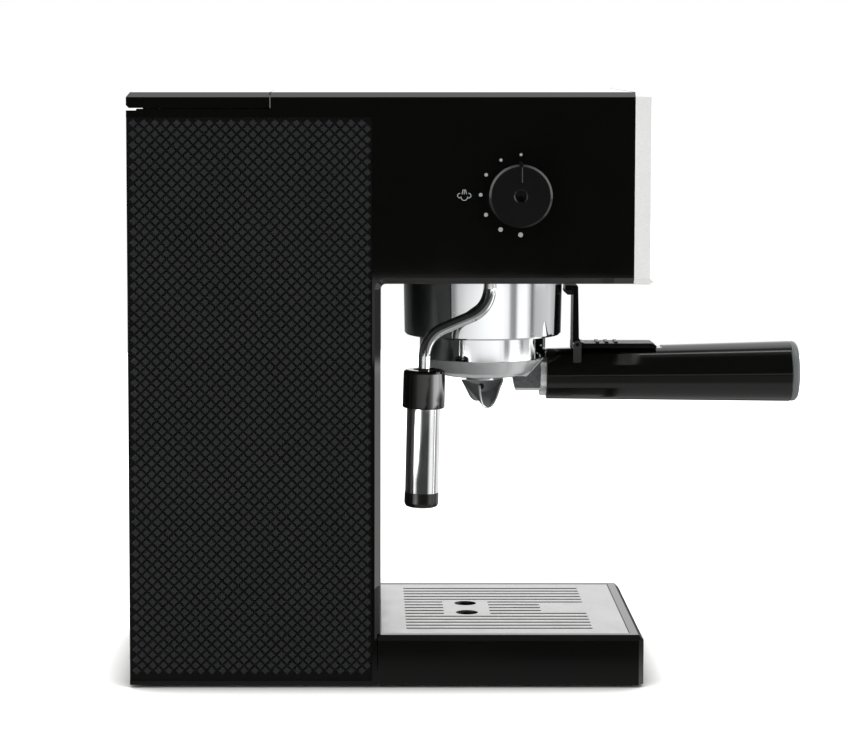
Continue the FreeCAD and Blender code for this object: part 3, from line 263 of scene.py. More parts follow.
def chromedBowl():
    # die-cast brass, chromed: the ring is a mirror, the cone below it is satin, and the neck
    # towards the handle keeps its pebbled casting skin, dark in the hollows
    look, roughness = bowlLook, bowlLook["roughness"]
    material, tree, shader, place = newMaterial("chromedCastBrass", 1.0)
    axis = (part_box("group_cover")[0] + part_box("group_cover")[1]) / 2
    fromAxis = addNode(tree, "ShaderNodeVectorMath", {"operation": "SUBTRACT"}, {1: (axis.x, axis.y, 0)},
                       {0: place})
    split = addNode(tree, "ShaderNodeSeparateXYZ", links={0: fromAxis.outputs[0]})

    def maths(operation, values=None, links=None):
        return addNode(tree, "ShaderNodeMath", {"operation": operation}, values, links).outputs[0]

    flat = addNode(tree, "ShaderNodeCombineXYZ", links={0: split.outputs[0], 1: split.outputs[1]})
    radius = addNode(tree, "ShaderNodeVectorMath", {"operation": "LENGTH"}, links={0: flat.outputs[0]})
    height = split.outputs[2]
    coneRadius, coneHeight = look["coneMm"]
    coneFoot = (coneRadius - coneHeight * look["coneWidens"]) * mm
    slope = maths("MULTIPLY_ADD", {1: look["coneWidens"], 2: coneFoot}, {0: height})  # its radius there
    outside = maths("GREATER_THAN", links={0: radius.outputs["Value"], 1: slope})
    below = maths("LESS_THAN", {1: look["neckTopMm"] * mm}, {0: height})
    sideways = maths("ABSOLUTE", links={0: split.outputs[0]})
    narrow = maths("LESS_THAN", {1: look["neckHalfMm"] * mm}, {0: sideways})
    front = maths("LESS_THAN", {1: -look["neckStartMm"] * mm}, {0: split.outputs[1]})
    neck = maths("MULTIPLY", links={0: maths("MAXIMUM", links={0: outside, 1: below}), 1: narrow})
    neck = maths("MULTIPLY", links={0: neck, 1: front})
    aboveBottom = maths("GREATER_THAN", {1: look["neckBottomMm"] * mm}, {0: height})
    neck = maths("MULTIPLY", links={0: neck, 1: aboveBottom})
    satin = maths("LESS_THAN", {1: look["satinTopMm"] * mm}, {0: height})
    skin = addNode(tree, "ShaderNodeTexNoise", values={"Scale": 1000 / look["pebbleMm"], "Detail": 3.0},
                   links={"Vector": place})
    smooth = addNode(tree, "ShaderNodeMix", {"data_type": "FLOAT"},
                     {2: roughness["mirror"], 3: roughness["satin"]}, {0: satin})
    rough = addNode(tree, "ShaderNodeMix", {"data_type": "FLOAT"}, {3: roughness["neck"]},
                    {0: neck, 2: smooth.outputs[0]})
    pits = addNode(tree, "ShaderNodeMix", {"data_type": "RGBA"},
                   {6: linearColour(look["pebbleTones"][0]), 7: linearColour(look["pebbleTones"][1])},
                   {0: skin.outputs[0]})
    tone = addNode(tree, "ShaderNodeMix", {"data_type": "RGBA"}, {6: linearColour(look["tone"])},
                   {0: neck, 7: pits.outputs[2]})
    relief = addNode(tree, "ShaderNodeBump", values={"Distance": look["pebbleDeepMm"] * mm},
                     links={"Height": skin.outputs[0], "Strength": neck})
    matt = maths("MULTIPLY_ADD", {1: -look["satinScatter"], 2: 1.0}, {0: satin})
    for source, socket in ((tone.outputs[2], "Base Color"), (rough.outputs[0], "Roughness"),
                           (relief.outputs[0], "Normal"), (matt, "Metallic")):
        tree.links.new(source, shader.inputs[socket])
    return material


def levelledChrome():
    # the same chrome on the group's slightly tapered cover, polished so that its wall mirrors level
    material, tree, shader, place = newMaterial("polishedCoverChrome", 1.0, {"Roughness": 0.03})
    mottle = addNode(tree, "ShaderNodeTexNoise", values={"Scale": 40.0}, links={"Vector": place})
    tone = addNode(tree, "ShaderNodeMix", {"data_type": "RGBA"},
                   {6: linearColour("#dadcdd"), 7: linearColour("#e2e4e5")}, {0: mottle.outputs[0]})
    facing = addNode(tree, "ShaderNodeSeparateXYZ",
                     links={0: addNode(tree, "ShaderNodeNewGeometry").outputs["Normal"]})
    size = addNode(tree, "ShaderNodeMath", {"operation": "ABSOLUTE"}, links={0: facing.outputs[2]})
    lean = addNode(tree, "ShaderNodeMath", {"operation": "MULTIPLY"},
                   links={0: facing.outputs[2], 1: size.outputs[0]})
    level = addNode(tree, "ShaderNodeCombineXYZ",
                    links={0: facing.outputs[0], 1: facing.outputs[1], 2: lean.outputs[0]})
    unit = addNode(tree, "ShaderNodeVectorMath", {"operation": "NORMALIZE"}, links={0: level.outputs[0]})
    tree.links.new(tone.outputs[2], shader.inputs["Base Color"])
    tree.links.new(unit.outputs[0], shader.inputs["Normal"])
    return material


for part in frame["record"]["subparts"]:
    finished = frame["nodes"][part["node"]].data.materials
    finished.clear()
    finished.append(finishes[part["material_slot"]])
# turned phenolic collar on the wand, buffed brighter than the handle
buffedPhenolic = surface("buffedPhenolic", {
    "tones": ("#040403", "#060605"), "roughness": (0.015, 0.03), "grainMm": 0.8, "bump": 0.003})
# chromed zinc spout left satin from the tumbler: grey, with soft reflections
tumbledChrome = surface("tumbledChrome", {
    "tones": ("#9da0a1", "#abaeaf"), "metallic": 0.85, "roughness": (0.3, 0.38), "mottleMm": 8,
    "grainMm": 0.6, "bump": 0.1})

for node, material in (("portafilter_bowl", chromedBowl()), ("group_cover", levelledChrome()),
                       ("frother_collar", buffedPhenolic)):
    slots = frame["nodes"][node].data.materials
    slots.clear()
    slots.append(material)
print("finishes made:", len(finishes))


# ---- mesh helpers

def meshPiece(name, vertices, faces, material, smooth=False):
    mesh = bpy.data.meshes.new(name)
    mesh.from_pydata(vertices, [], faces)
    mesh.validate()
    work = bmesh.new()
    work.from_mesh(mesh)
    bmesh.ops.recalc_face_normals(work, faces=work.faces)
    work.to_mesh(mesh)
    work.free()
    mesh.materials.append(material)
    if smooth:
        mesh.shade_smooth()
    piece = bpy.data.objects.new(name, mesh)
    bpy.context.scene.collection.objects.link(piece)
    return piece


# ---- diamond relief on both sides of the tower

reliefLook = {
    "pitchMm": 5.59,         # from one diamond to the next in a row; rows are half of it apart
    "topHalfMm": 1.8,        # centre to corner of a diamond's flat top
    "baseHalfMm": 2.4,       # and of its foot
    "sunkMm": 0.72,          # depth of the field that they stand in
    "rearGapMm": 3.6,        # rear edge of the tower to the centres of the first column
    "topGapMm": 4.13,        # joint of the top cover to the centres of the first row
    "frontEndMm": 5.4,       # the centres stop this far behind the tray's rear face
    "bottomEndMm": 6.3,      # and here above the counter
    "groundFrontMm": 2.6,    # the field reaches this far past the front centres
    "groundTopMm": 1.0,      # and ends this far below the panel's top edge
    "groundRearMm": 0.4,     # in front of the tower's rear edge
    "groundBelowMm": 2.2,    # below the last row's limit
    "groundUpMm": 0.05,      # skin of the ground above the field's floor
    "groundThickMm": 0.03,
    "topsUnderMm": 0.02,     # diamonds' tops below the panel's face
}

reliefBlack = surface("mouldedReliefAbs", {  # same ABS, duller on the diamonds' flat tops
    "tones": ("#141515", "#191a1a"), "roughness": (0.32, 0.4), "grainMm": 0.7, "bump": 0.15,
    "sockets": {"Specular IOR Level": 0.35}})

groundBlack = surface("erodedGroundAbs", {  # matt floor between the diamonds, so that the grooves stay dark
    "tones": ("#040404", "#060606"), "roughness": (0.5, 0.6), "grainMm": 0.7, "bump": 0.1,
    "sockets": {"Specular IOR Level": 0.2}})


def diamondRelief(side, sign):
    panelLow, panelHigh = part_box(side + "_side_panel")
    outerX = panelLow.x if sign < 0 else panelHigh.x
    floorX = outerX - sign * reliefLook["sunkMm"] * mm
    topX = outerX - sign * reliefLook["topsUnderMm"] * mm
    half = reliefLook["pitchMm"] * mm / 2
    firstY = panelHigh.y - reliefLook["rearGapMm"] * mm
    firstZ = panelHigh.z - reliefLook["topGapMm"] * mm
    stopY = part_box("drip_tray")[1].y + reliefLook["frontEndMm"] * mm
    stopZ = reliefLook["bottomEndMm"] * mm
    vertices, faces = [], []
    row, z = 0, firstZ
    while z > stopZ:
        y = firstY - (row % 2) * half
        while y > stopY:
            base = len(vertices)
            for x, reach in ((floorX, reliefLook["baseHalfMm"] * mm),
                             (topX, reliefLook["topHalfMm"] * mm)):
                vertices += [(x, y + reach, z), (x, y, z + reach), (x, y - reach, z), (x, y, z - reach)]
            faces.append([base + 4, base + 5, base + 6, base + 7])
            faces.append([base + 3, base + 2, base + 1, base])
            for corner in range(4):
                after = (corner + 1) % 4
                faces.append([base + corner, base + after, base + 4 + after, base + 4 + corner])
            y -= 2 * half
        z -= half
        row += 1
    # eroded ground of the field, a hair above its floor
    base, groundX = len(vertices), floorX + sign * reliefLook["groundUpMm"] * mm
    frontY, rearY = stopY - reliefLook["groundFrontMm"] * mm, panelHigh.y - reliefLook["groundRearMm"] * mm
    topZ, bottomZ = panelHigh.z - reliefLook["groundTopMm"] * mm, stopZ - reliefLook["groundBelowMm"] * mm
    for x in (groundX, groundX - sign * reliefLook["groundThickMm"] * mm):
        vertices += [(x, frontY, bottomZ), (x, rearY, bottomZ), (x, rearY, topZ), (x, frontY, topZ)]
    groundFaces = [[0, 1, 2, 3], [7, 6, 5, 4], [0, 4, 5, 1], [1, 5, 6, 2], [2, 6, 7, 3], [3, 7, 4, 0]]
    faces += [[base + index for index in face] for face in groundFaces]
    relief = meshPiece("diamondRelief_" + side, vertices, faces, reliefBlack)
    relief.data.materials.append(groundBlack)
    for face in relief.data.polygons[-len(groundFaces):]:
        face.material_index = 1
    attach(relief, "housing")
    return len(faces) // 6


print("diamonds:", diamondRelief("left", -1), diamondRelief("right", 1))


# ---- tank lid: sealing lip inside its edge, and a bead down the seam in front of it

lidLook = {
    "lipInMm": 3.2,       # side face to the lip's outer side
    "lipWideMm": 1.1,
    "lipUpMm": 1.1,       # above the lid's lower edge
    "lipDropMm": 0.44,    # below it, so that the seam under the lid is closed
    "lipFrontMm": 3.0,    # front edge of the lid to the lip
    "lipRearMm": 8.5,
    "beadMm": 0.25,       # half width and height of the bead
    "beadStopMm": 1.6,    # top of the lid to the bead's end
}


def extruded(profile, axis, start, end):  # closed shape with the profile's points swept along Y or Z
    if axis == "y":
        vertices = [(a, along, b) for along in (start, end) for a, b in profile]
    else:
        vertices = [(a, b, along) for along in (start, end) for a, b in profile]
    count = len(profile)
    faces = [list(range(count)), list(range(2 * count - 1, count - 1, -1))]
    faces += [[i, count + i, count + (i + 1) % count, (i + 1) % count] for i in range(count)]
    return vertices, faces


def joined(strokes):  # several (vertices, faces) shapes as one
    vertices, faces = [], []
    for strokeVertices, strokeFaces in strokes:
        base = len(vertices)
        vertices += strokeVertices
        faces += [[base + index for index in face] for face in strokeFaces]
    return vertices, faces


def lidTrim():
    look = {name: value * mm for name, value in lidLook.items()}
    lidLow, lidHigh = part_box("tank_lid")
    lips, beads = [], []
    for edge, inward in ((lidLow.x, 1), (lidHigh.x, -1)):
        outer = edge + inward * look["lipInMm"]
        inner = outer + inward * look["lipWideMm"]
        up, drop = lidLow.z + look["lipUpMm"], lidLow.z - look["lipDropMm"]
        profile = [(outer, up), (inner, up), (inner, drop + look["lipDropMm"] / 2),
                   ((outer + inner) / 2, drop), (outer, drop)]
        lips.append(extruded(profile, "y", lidLow.y + look["lipFrontMm"], lidHigh.y - look["lipRearMm"]))
        seamY, reach = lidLow.y - look["beadMm"], look["beadMm"]
        ridge = [(edge, seamY + reach), (edge - inward * reach, seamY), (edge, seamY - reach)]
        beads.append(extruded(ridge, "z", lidLow.z, lidHigh.z - look["beadStopMm"]))
    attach(meshPiece("lidLip", *joined(lips), finishes["rubber_black"]), "lid")
    bead = meshPiece("lidSeamBead", *joined(beads), finishes["gloss_black"])
    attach(bead, "housing")


lidTrim()
print("lid trimmed")


# ---- printed marks round the steam knob

markLook = {
    "inkMm": 0.05,                                        # thickness of the printed ink
    "dotRingMm": 20.6,                                    # ring axis to the dots' centres
    "ringShiftMm": (-0.65, 0.1),                          # knob axis to the ring's, along Y and up
    "dotDiametersMm": (1.5, 1.6, 1.8, 1.95, 2.1, 2.35, 2.5),  # they grow as the valve opens
    "dotStepDeg": 30,
    "iconBackMm": 28.4,                                   # knob axis to the steam mark's centre
    "iconScale": 0.92,
    "lineMm": 0.32,                                       # stroke of the steam mark
    "dotSides": 24,
    "pointerMm": (1.4, 9.2),                              # knob's rim to the pointer line's two ends
    "pointerAsideMm": 0.6,
    "pointerWideMm": 0.45,
    "pointerInkMm": 0.03,
    "pointerOffMm": 0.01,                                 # its ink starts this far off the knob's face
}

markInk = surface("padPrintedInk", {  # pad-printed two-part ink: flat light grey, very slightly uneven
    "tones": ("#767b7c", "#7e8384"), "roughness": (0.5, 0.6), "grainMm": 0.4, "bump": 0.1})

dimInk = surface("dimPrintedInk", {  # thinner grey ink on the knob, so that it reads as a faint line
    "tones": ("#2c2f2f", "#323535"), "roughness": (0.5, 0.6), "grainMm": 0.4, "bump": 0.1})

knobLow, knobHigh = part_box("steam_knob")
knobAxis = Vector((0, (knobLow.y + knobHigh.y) / 2, knobLow.z + (knobHigh.y - knobLow.y) / 2))
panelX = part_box("left_side_panel")[0].x


def ribbon(points, width, x, thickness):  # flat printed stroke along points in the side panel's plane
    vertices, faces = [], []
    for index, (y, z) in enumerate(points):
        before = points[max(index - 1, 0)]
        after = points[min(index + 1, len(points) - 1)]
        along = Vector((after[0] - before[0], after[1] - before[1])).normalized()
        across = Vector((-along.y, along.x)) * width / 2
        for depth in (x, x - thickness):
            vertices.append((depth, y + across.x, z + across.y))
            vertices.append((depth, y - across.x, z - across.y))
    for index in range(len(points) - 1):
        a, b = index * 4, index * 4 + 4
        faces += [[a, a + 1, b + 1, b], [a + 2, b + 2, b + 3, a + 3],
                  [a, b, b + 2, a + 2], [a + 1, a + 3, b + 3, b + 1]]
    faces += [[0, 2, 3, 1], [len(vertices) - 4, len(vertices) - 3, len(vertices) - 1, len(vertices) - 2]]
    return vertices, faces


def arcPoints(centreY, centreZ, radius, fromDeg, toDeg, steps=14):
    turns = [math.radians(fromDeg + (toDeg - fromDeg) * step / steps) for step in range(steps + 1)]
    return [(centreY + radius * math.cos(t), centreZ + radius * math.sin(t)) for t in turns]


def knobMarks():
    ink, sides = markLook["inkMm"] * mm, markLook["dotSides"]
    dots = []
    for index, diameter in enumerate(markLook["dotDiametersMm"]):
        turn = math.radians(90 - markLook["dotStepDeg"] * index)
        y = knobAxis.y + (markLook["ringShiftMm"][0] + markLook["dotRingMm"] * math.cos(turn)) * mm
        z = knobAxis.z + (markLook["ringShiftMm"][1] + markLook["dotRingMm"] * math.sin(turn)) * mm
        rim = arcPoints(y, z, diameter / 2 * mm, 0, 360 * (sides - 1) / sides, sides - 1)
        vertices = [(panelX, *point) for point in rim] + [(panelX - ink, *point) for point in rim]
        faces = [list(range(sides)), list(range(2 * sides - 1, sides - 1, -1))]
        faces += [[i, sides + i, sides + (i + 1) % sides, (i + 1) % sides] for i in range(sides)]
        dots.append((vertices, faces))
    line = markLook["lineMm"] * mm
    y, z, unit = knobAxis.y + markLook["iconBackMm"] * mm, knobAxis.z, markLook["iconScale"] * mm
    strokes = []
    for lean in (-1, 0, 1):  # three jets of steam, fanned downwards
        strokes.append([(y + lean * 0.62 * unit, z + 3.1 * unit), (y + lean * 1.3 * unit, z + 0.4 * unit)])
    strokes.append(arcPoints(y + 2.45 * unit, z - 0.35 * unit, 1.3 * unit, 95, -115))   # rear lobe
    strokes.append(arcPoints(y - 2.45 * unit, z - 0.35 * unit, 1.3 * unit, 85, 295))    # front lobe
    strokes.append(arcPoints(y, z - 1.25 * unit, 1.8 * unit, 10, -190))                 # lower lobe
    icon = [ribbon(points, line, panelX, ink) for points in strokes]
    for name, shapes in (("knobDots", dots), ("steamMark", icon)):
        piece = meshPiece(name, *joined(shapes), markInk)
        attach(piece, "housing")
    # printed pointer line on the knob's face, towards the first dot
    faceX, rim = knobLow.x - markLook["pointerOffMm"] * mm, (knobHigh.y - knobLow.y) / 2
    y = knobAxis.y - markLook["pointerAsideMm"] * mm
    line = ribbon([(y, knobAxis.z + rim - end * mm) for end in markLook["pointerMm"]],
                  markLook["pointerWideMm"] * mm, faceX, markLook["pointerInkMm"] * mm)
    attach(meshPiece("pointerLine", *line, dimInk), "steam_control")


knobMarks()
print("knob marks printed")


# ---- generic symbols on the push buttons

buttonLook = {
    "inkMm": 0.04,
    "lineMm": 0.5,
    "faceMm": 0.48,   # front of a key's box to the face that is printed
}


def buttonSymbols():
    line, ink = buttonLook["lineMm"] * mm, buttonLook["inkMm"] * mm
    shapes = {
        "power": [arcPoints(0, 0, 2.6 * mm, 125, 415, 24), [(0, 0.6 * mm), (0, 3.6 * mm)]],
        "brew": [[(-2.4 * mm, 1.4 * mm), (-2.0 * mm, -1.8 * mm), (2.0 * mm, -1.8 * mm), (2.4 * mm, 1.4 * mm),
                  (-2.4 * mm, 1.4 * mm)], arcPoints(2.4 * mm, 0, 1.0 * mm, -80, 80, 10),
                 [(-3.0 * mm, -2.7 * mm), (3.0 * mm, -2.7 * mm)]],
        "steam": [[(x * mm, -2.4 * mm), (x * mm + 0.5 * mm, -1.0 * mm), (x * mm - 0.5 * mm, 0.8 * mm),
                   (x * mm, 2.4 * mm)] for x in (-1.9, 0, 1.9)],
    }
    for key, strokes in shapes.items():
        boxLow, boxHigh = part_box(key + "_button")
        centre = (boxLow + boxHigh) / 2
        faceY = boxLow.y + buttonLook["faceMm"] * mm
        vertices, faces = joined([ribbon(points, line, 0, ink) for points in strokes])
        placed = [(centre.x + y, faceY + x, centre.z + z) for x, y, z in vertices]
        piece = meshPiece(key + "Symbol", placed, faces, markInk)
        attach(piece, key + "_key")


buttonSymbols()
print("button symbols printed")


# ---- twin spout under the portafilter

spoutLook = {
    "turnDeg": 17,          # the two lips are turned a little out of the cross direction
    "reachMm": 8.0,         # hub to the tip of a lip
    "topReachMm": 12.5,     # hub to the lip's upper corners
    "hubHalfMm": 12.2,      # half of the trough's width at the hub
    "lipHalfMm": 6.6,       # and at the lips
    "hubDepthMm": 7.5,      # top edge to the trough's floor at the hub
    "lipDepthMm": 13.2,     # and at the front lip of the pair
    "backLipDepthMm": 11.2,
    "sectionPower": 2.8,    # higher makes the trough's section fuller
    "dropMm": 2.0,          # the top edge falls this much towards the lips
    "wallMm": 1.2,
    "sectionSteps": 32,
    "lengthSteps": 14,
    # the outlet's dark mouth, in rings from the web over its rim: radius, and height off the web's middle
    "outletRingsMm": ((1.6, 1.0), (1.6, 1.7), (1.10345, 1.7), (0.93793, 1.1)),
    "outletDownMm": 3.9,    # trough's top edge to its centre
    "outletAsideMm": 1.2,
    "outletSides": 24,
    "webHalfMm": 1.0,       # half of the web's thickness
    "webInMm": 0.6,         # how far the web's edge goes into the trough's wall
    "edgeMm": 0.3,          # rounding of the trough's edges
}


def twinSpout():
    look = spoutLook
    boxLow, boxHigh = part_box("twin_spout")
    centre = Vector(((boxLow.x + boxHigh.x) / 2, (boxLow.y + boxHigh.y) / 2, boxHigh.z - 0.1 * mm))
    turn = Matrix.Rotation(math.radians(look["turnDeg"]), 3, "Z")

    def skin(inset, share, along):
        # share runs over the trough's section from one top edge to the other, along from lip to lip
        out = abs(along)
        half = look["hubHalfMm"] + (look["lipHalfMm"] - look["hubHalfMm"]) * out ** 1.3 - inset
        lipDepth = look["lipDepthMm"] if along < 0 else look["backLipDepthMm"]
        depth = look["hubDepthMm"] + (lipDepth - look["hubDepthMm"]) * out ** 0.9
        reach = look["topReachMm"] + (look["reachMm"] - look["topReachMm"]) * (1 - abs(share) ** 2)
        sag = (depth - inset) * (1 - abs(share) ** look["sectionPower"]) + look["dropMm"] * out ** 1.5
        return centre + turn @ Vector((along * reach, half * share, -sag)) * mm

    sections, lengths = look["sectionSteps"], look["lengthSteps"]
    vertices, faces = [], []
    for inset in (0.0, look["wallMm"]):
        for i in range(sections + 1):
            for j in range(2 * lengths + 1):
                vertices.append(skin(inset, -1 + 2 * i / sections, -1 + j / lengths))
    stride = 2 * lengths + 1
    inner = (sections + 1) * stride
    for i in range(sections):
        for j in range(2 * lengths):
            a = i * stride + j
            faces.append([a, a + 1, a + stride + 1, a + stride])
            faces.append([inner + a, inner + a + stride, inner + a + stride + 1, inner + a + 1])
    for i in range(sections):
        for j in (0, 2 * lengths):  # rims at the two lips
            a, b = i * stride + j, (i + 1) * stride + j
            faces.append([a, b, inner + b, inner + a])
    for j in range(2 * lengths):  # top edges of both walls
        for i in (0, sections):
            a = i * stride + j
            faces.append([a, a + 1, inner + a + 1, inner + a])
    trough = meshPiece("twinSpout", vertices, faces, tumbledChrome, smooth=True)
    trough.data.materials.append(finishes["chrome"])  # only the rims are polished
    for rimFace in trough.data.polygons[4 * sections * lengths:]:
        rimFace.material_index = 1
    bevel = trough.modifiers.new("softEdges", "BEVEL")
    bevel.width, bevel.segments, bevel.angle_limit = look["edgeMm"] * mm, 3, math.radians(40)
    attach(trough, "portafilter")
    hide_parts("twin_spout")

    # wall across the hub that parts the coffee
    rim = [skin(look["webInMm"], -1 + 2 * i / sections, 0) for i in range(sections + 1)]
    across = turn @ Vector((look["webHalfMm"] * mm, 0, 0))
    vertices = [point - across for point in rim] + [point + across for point in rim]
    count = len(rim)
    faces = [list(range(count)), list(range(2 * count - 1, count - 1, -1))]
    faces += [[i, (i + 1) % count, count + (i + 1) % count, count + i] for i in range(count)]
    web = meshPiece("spoutWeb", vertices, faces, tumbledChrome)
    # raised mouth of the outlet on both faces of the web, with a dark sunk middle
    vertices, faces, sides = [], [], look["outletSides"]
    middle = centre + turn @ Vector((0, look["outletAsideMm"], -look["outletDownMm"])) * mm
    bands = len(look["outletRingsMm"]) - 1
    for side in (-1, 1):
        base = len(vertices)
        for radius, step in look["outletRingsMm"]:
            for k in range(sides):
                angle = 2 * math.pi * k / sides
                spot = Vector((side * step, radius * math.cos(angle), radius * math.sin(angle)))
                vertices.append(middle + turn @ spot * mm)
        for band in range(bands):
            for k in range(sides):
                a, b = base + band * sides + k, base + band * sides + (k + 1) % sides
                faces.append([a, b, b + sides, a + sides])
        faces.append([base + bands * sides + k for k in range(sides)])
    mouth = meshPiece("spoutOutlet", vertices, faces, finishes["rubber_black"])
    for piece in (web, mouth):
        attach(piece, "portafilter")


twinSpout()
print("twin spout made")


# ---- floor, studio light and camera

stageLook = {
    "colours": ("#f1f1ef", "#f4f4f2"),
    "radius": 1.6,
    "sides": 96,
    "shadeMm": 26,   # how far from the machine the board darkens
    "shade": 0.33,   # and how dark it is right at its foot
}


def makeFloor():
    # matt painted board: even and pale, and it darkens close to whatever stands on it
    material, tree, shader, place = newMaterial("paleMattPaint", 0.0,
                                                {"Specular IOR Level": 0.0, "Roughness": 0.9})
    mottle = addNode(tree, "ShaderNodeTexNoise", values={"Scale": 4.0}, links={"Vector": place})
    paint = addNode(tree, "ShaderNodeMix", {"data_type": "RGBA"},
                    {6: linearColour(stageLook["colours"][0]), 7: linearColour(stageLook["colours"][1])},
                    {0: mottle.outputs[0]})
    near = addNode(tree, "ShaderNodeAmbientOcclusion", {"samples": 16},
                   {"Distance": stageLook["shadeMm"] * mm})
    shade = addNode(tree, "ShaderNodeMapRange", values={1: 0.45, 2: 0.98, 3: stageLook["shade"], 4: 1.0},
                    links={0: near.outputs["AO"]})
    board = addNode(tree, "ShaderNodeMix", {"data_type": "RGBA", "blend_type": "MULTIPLY"}, {0: 1.0},
                    {6: paint.outputs[2], 7: shade.outputs[0]})
    tree.links.new(board.outputs[2], shader.inputs["Base Color"])
    work = bmesh.new()
    bmesh.ops.create_circle(work, cap_ends=True, segments=stageLook["sides"], radius=stageLook["radius"])
    mesh = bpy.data.meshes.new("paleFloor")
    work.to_mesh(mesh)
    work.free()
    mesh.materials.append(material)
    floor = bpy.data.objects.new("paleFloor", mesh)
    floor.visible_glossy = False  # polished parts mirror the studio's cards instead
    bpy.context.scene.collection.objects.link(floor)


makeFloor()

studioLook = {
    "backdrop": 1.0,      # what the camera sees behind the machine
    "fill": 2.3,          # even light that falls on every surface
    "beyond": 0.3,        # level where no ring reaches
    "brightest": 10.0,    # ramps hold 0 to 1, so they are made this many times dimmer
    # What polished parts mirror, in rings from the horizon down and up. Each ring has its lowest and
    # highest tilt in degrees, the blur of its edges, and brightness by turn, in degrees from the
    # -X side towards -Y.
    "rings": {
        "ceiling": (-4.62, 95, 0.1, ((-180, 1.3), (-150, 1.3), (-138, 0.1), (-104, 0.1), (-98, 5.0),
                                     (-82, 5.0), (-76, 0.1), (-40, 0.03), (40, 0.03), (76, 0.1), (82, 5.0),
                                     (98, 5.0), (104, 0.1), (138, 0.1), (150, 1.3), (180, 1.3))),
        "wall": (-6.35, -4.62, 0.1, ((-180, 0.1), (-170, 0.03), (-75, 0.03), (-62, 0.11), (-44, 0.32),
                                     (-38, 0.7), (-24, 1.0), (0, 1.3), (25, 1.45), (35, 1.2), (40, 0.42),
                                     (46, 0.35), (51, 1.3), (63, 1.45), (68, 1.0), (74, 0.2), (81, 0.6),
                                     (112, 0.8), (130, 0.5), (150, 0.15), (180, 0.1))),
        "band": (-7.5, -6.35, 0.15, ((-180, 0.2), (-125, 0.4), (-100, 2.0), (-55, 4.0), (-43, 9.9),
                                     (-33, 8.0), (-22, 1.2), (-8, 0.1), (15, 0.1), (32, 0.9), (45, 3.0),
                                     (58, 9.0), (80, 9.9), (110, 4.2), (150, 1.0), (180, 0.2))),
        "apron": (-12.4, -7.5, 0.2, ((-180, 0.4), (-125, 0.03), (-110, 0.05), (-99, 0.5), (-88, 1.3),
                                     (-50, 1.25), (-42, 0.5), (-34, 0.06), (36, 0.06), (44, 0.5), (54, 1.25),
                                     (72, 1.25), (84, 0.42), (104, 0.4), (127, 1.2), (180, 0.5))),
        "board": (-58, -12.4, 0.5, ((-180, 0.1), (-115, 0.1), (-98, 1.2), (-86, 1.2), (-62, 0.2),
                                    (0, 0.2), (60, 0.25), (92, 2.0), (100, 2.0), (118, 0.13), (180, 0.1))),
        "under": (-95, -40, 6.0, ((-180, 0.52), (180, 0.52))),
    },
    # extra cards: turn from, to, tilt from, to, brightness and blur
    "cards": (
        (-60, 60, -13.6, -12.5, 0.4, 0.3),  # pale strip low down, seen along the foot of the sides
        (-181, 181, 72, 96, 0.25, 5.0),     # dark overhead
        (130, 181, 44, 70, 1.7, 7.0),       # soft light high behind
        (-181, -130, 44, 70, 1.7, 7.0),
        (-98, -82, 0, 80, 5.0, 3.0),        # tall lights at both ends
        (82, 98, 0, 80, 5.0, 3.0),
        (-110, -60, 80, 96, 4.2, 4.0),      # their heads meet in a narrow light overhead, which
        (60, 110, 80, 96, 4.2, 4.0),        # every upper bevel mirrors
        (-181, 181, 87, 96, 4.2, 0.8),
        (88.9, 91.8, -12.4, -6.4, 4.0, 0.3),  # slit that only the tower's front bevel mirrors
    ),
}


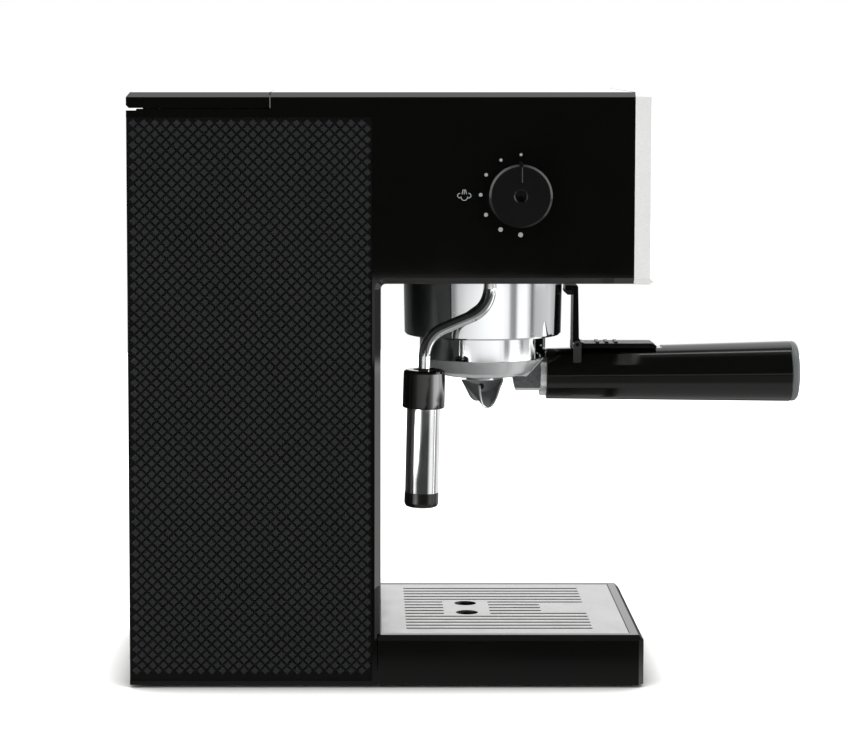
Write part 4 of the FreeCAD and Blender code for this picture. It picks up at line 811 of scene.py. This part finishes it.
def makeStudio():
    look = studioLook
    world = bpy.data.worlds.new("softStudio")
    world.use_nodes = True
    world.cycles.sampling_method = "NONE"  # the light depends on the kind of ray, so rays alone find it
    bpy.context.scene.world = world
    tree = world.node_tree
    tree.nodes.clear()
    direction = addNode(tree, "ShaderNodeTexCoord").outputs["Generated"]
    split = addNode(tree, "ShaderNodeSeparateXYZ", links={0: direction})

    def maths(operation, values=None, links=None):
        return addNode(tree, "ShaderNodeMath", {"operation": operation}, values, links).outputs[0]

    def within(angle, start, end, blur):  # 1 between the two angles, 0 outside
        steps = [addNode(tree, "ShaderNodeMapRange", {"interpolation_type": "SMOOTHSTEP"},
                         {1: edge - blur, 2: edge + blur, 3: falls, 4: 1 - falls}, {0: angle}).outputs[0]
                 for edge, falls in ((start, 0), (end, 1))]
        return maths("MULTIPLY", links={0: steps[0], 1: steps[1]})

    def mixed(mask, level, brightness):
        by = {3: brightness} if isinstance(brightness, float) else {}
        wired = {0: mask, 2: level} if by else {0: mask, 2: level, 3: brightness}
        return addNode(tree, "ShaderNodeMix", {"data_type": "FLOAT"}, by, wired).outputs[0]

    backX = maths("MULTIPLY", {1: -1.0}, {0: split.outputs[0]})
    backY = maths("MULTIPLY", {1: -1.0}, {0: split.outputs[1]})
    turn = maths("DEGREES", links={0: maths("ARCTAN2", links={0: backY, 1: backX})})
    tilt = maths("DEGREES", links={0: maths("ARCSINE", links={0: split.outputs[2]})})
    share = addNode(tree, "ShaderNodeMapRange", values={1: -180.0, 2: 180.0, 3: 0.0, 4: 1.0}, links={0: turn})
    level, brightest = maths("ADD", {0: look["beyond"], 1: 0.0}), look["brightest"]
    for tiltFrom, tiltTo, blur, stops in look["rings"].values():
        ramp = addNode(tree, "ShaderNodeValToRGB", links={0: share.outputs[0]})
        line = ramp.color_ramp.elements
        for index, (angle, brightness) in enumerate(stops):
            place = (angle + 180) / 360
            stop = line[index] if index < 2 else line.new(place)
            stop.position = place
            stop.color = (*(brightness / brightest,) * 3, 1.0)
        bright = maths("MULTIPLY", {1: brightest}, {0: ramp.outputs[0]})
        level = mixed(within(tilt, tiltFrom, tiltTo, blur), level, bright)
    for turnFrom, turnTo, tiltFrom, tiltTo, brightness, blur in look["cards"]:
        mask = maths("MULTIPLY", links={0: within(turn, turnFrom, turnTo, blur),
                                        1: within(tilt, tiltFrom, tiltTo, blur)})
        level = mixed(mask, level, float(brightness))
    ray = addNode(tree, "ShaderNodeLightPath")
    fill = maths("ADD", {0: look["fill"], 1: 0.0})
    shown = mixed(ray.outputs["Is Glossy Ray"], fill, level)
    shown = mixed(ray.outputs["Is Camera Ray"], shown, look["backdrop"])
    light = addNode(tree, "ShaderNodeBackground", values={0: (1, 1, 1, 1)}, links={1: shown})
    addNode(tree, "ShaderNodeOutputWorld", links={0: light.outputs[0]})


makeStudio()

cameraLook = {
    "awayMm": 1441.1,     # from the left side panel's face
    "beforeRearMm": 120.7,  # in front of that panel's rear edge
    "heightMm": 330.6,
    "downDeg": 5.0,
    "lensMm": 117.07,
    "shift": (0.0813, -0.0900),
}
sideLow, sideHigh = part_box("left_side_panel")
camera = bpy.data.objects.new("viewCamera", bpy.data.cameras.new("viewCamera"))
camera.location = (sideLow.x - cameraLook["awayMm"] * mm, sideHigh.y - cameraLook["beforeRearMm"] * mm,
                   cameraLook["heightMm"] * mm)
camera.rotation_euler = (math.radians(90 - cameraLook["downDeg"]), 0, math.radians(-90))
camera.data.lens = cameraLook["lensMm"]
camera.data.shift_x, camera.data.shift_y = cameraLook["shift"]
bpy.context.scene.collection.objects.link(camera)
bpy.context.scene.camera = camera
bpy.context.scene.view_settings.view_transform = "Standard"
print("studio and camera ready")
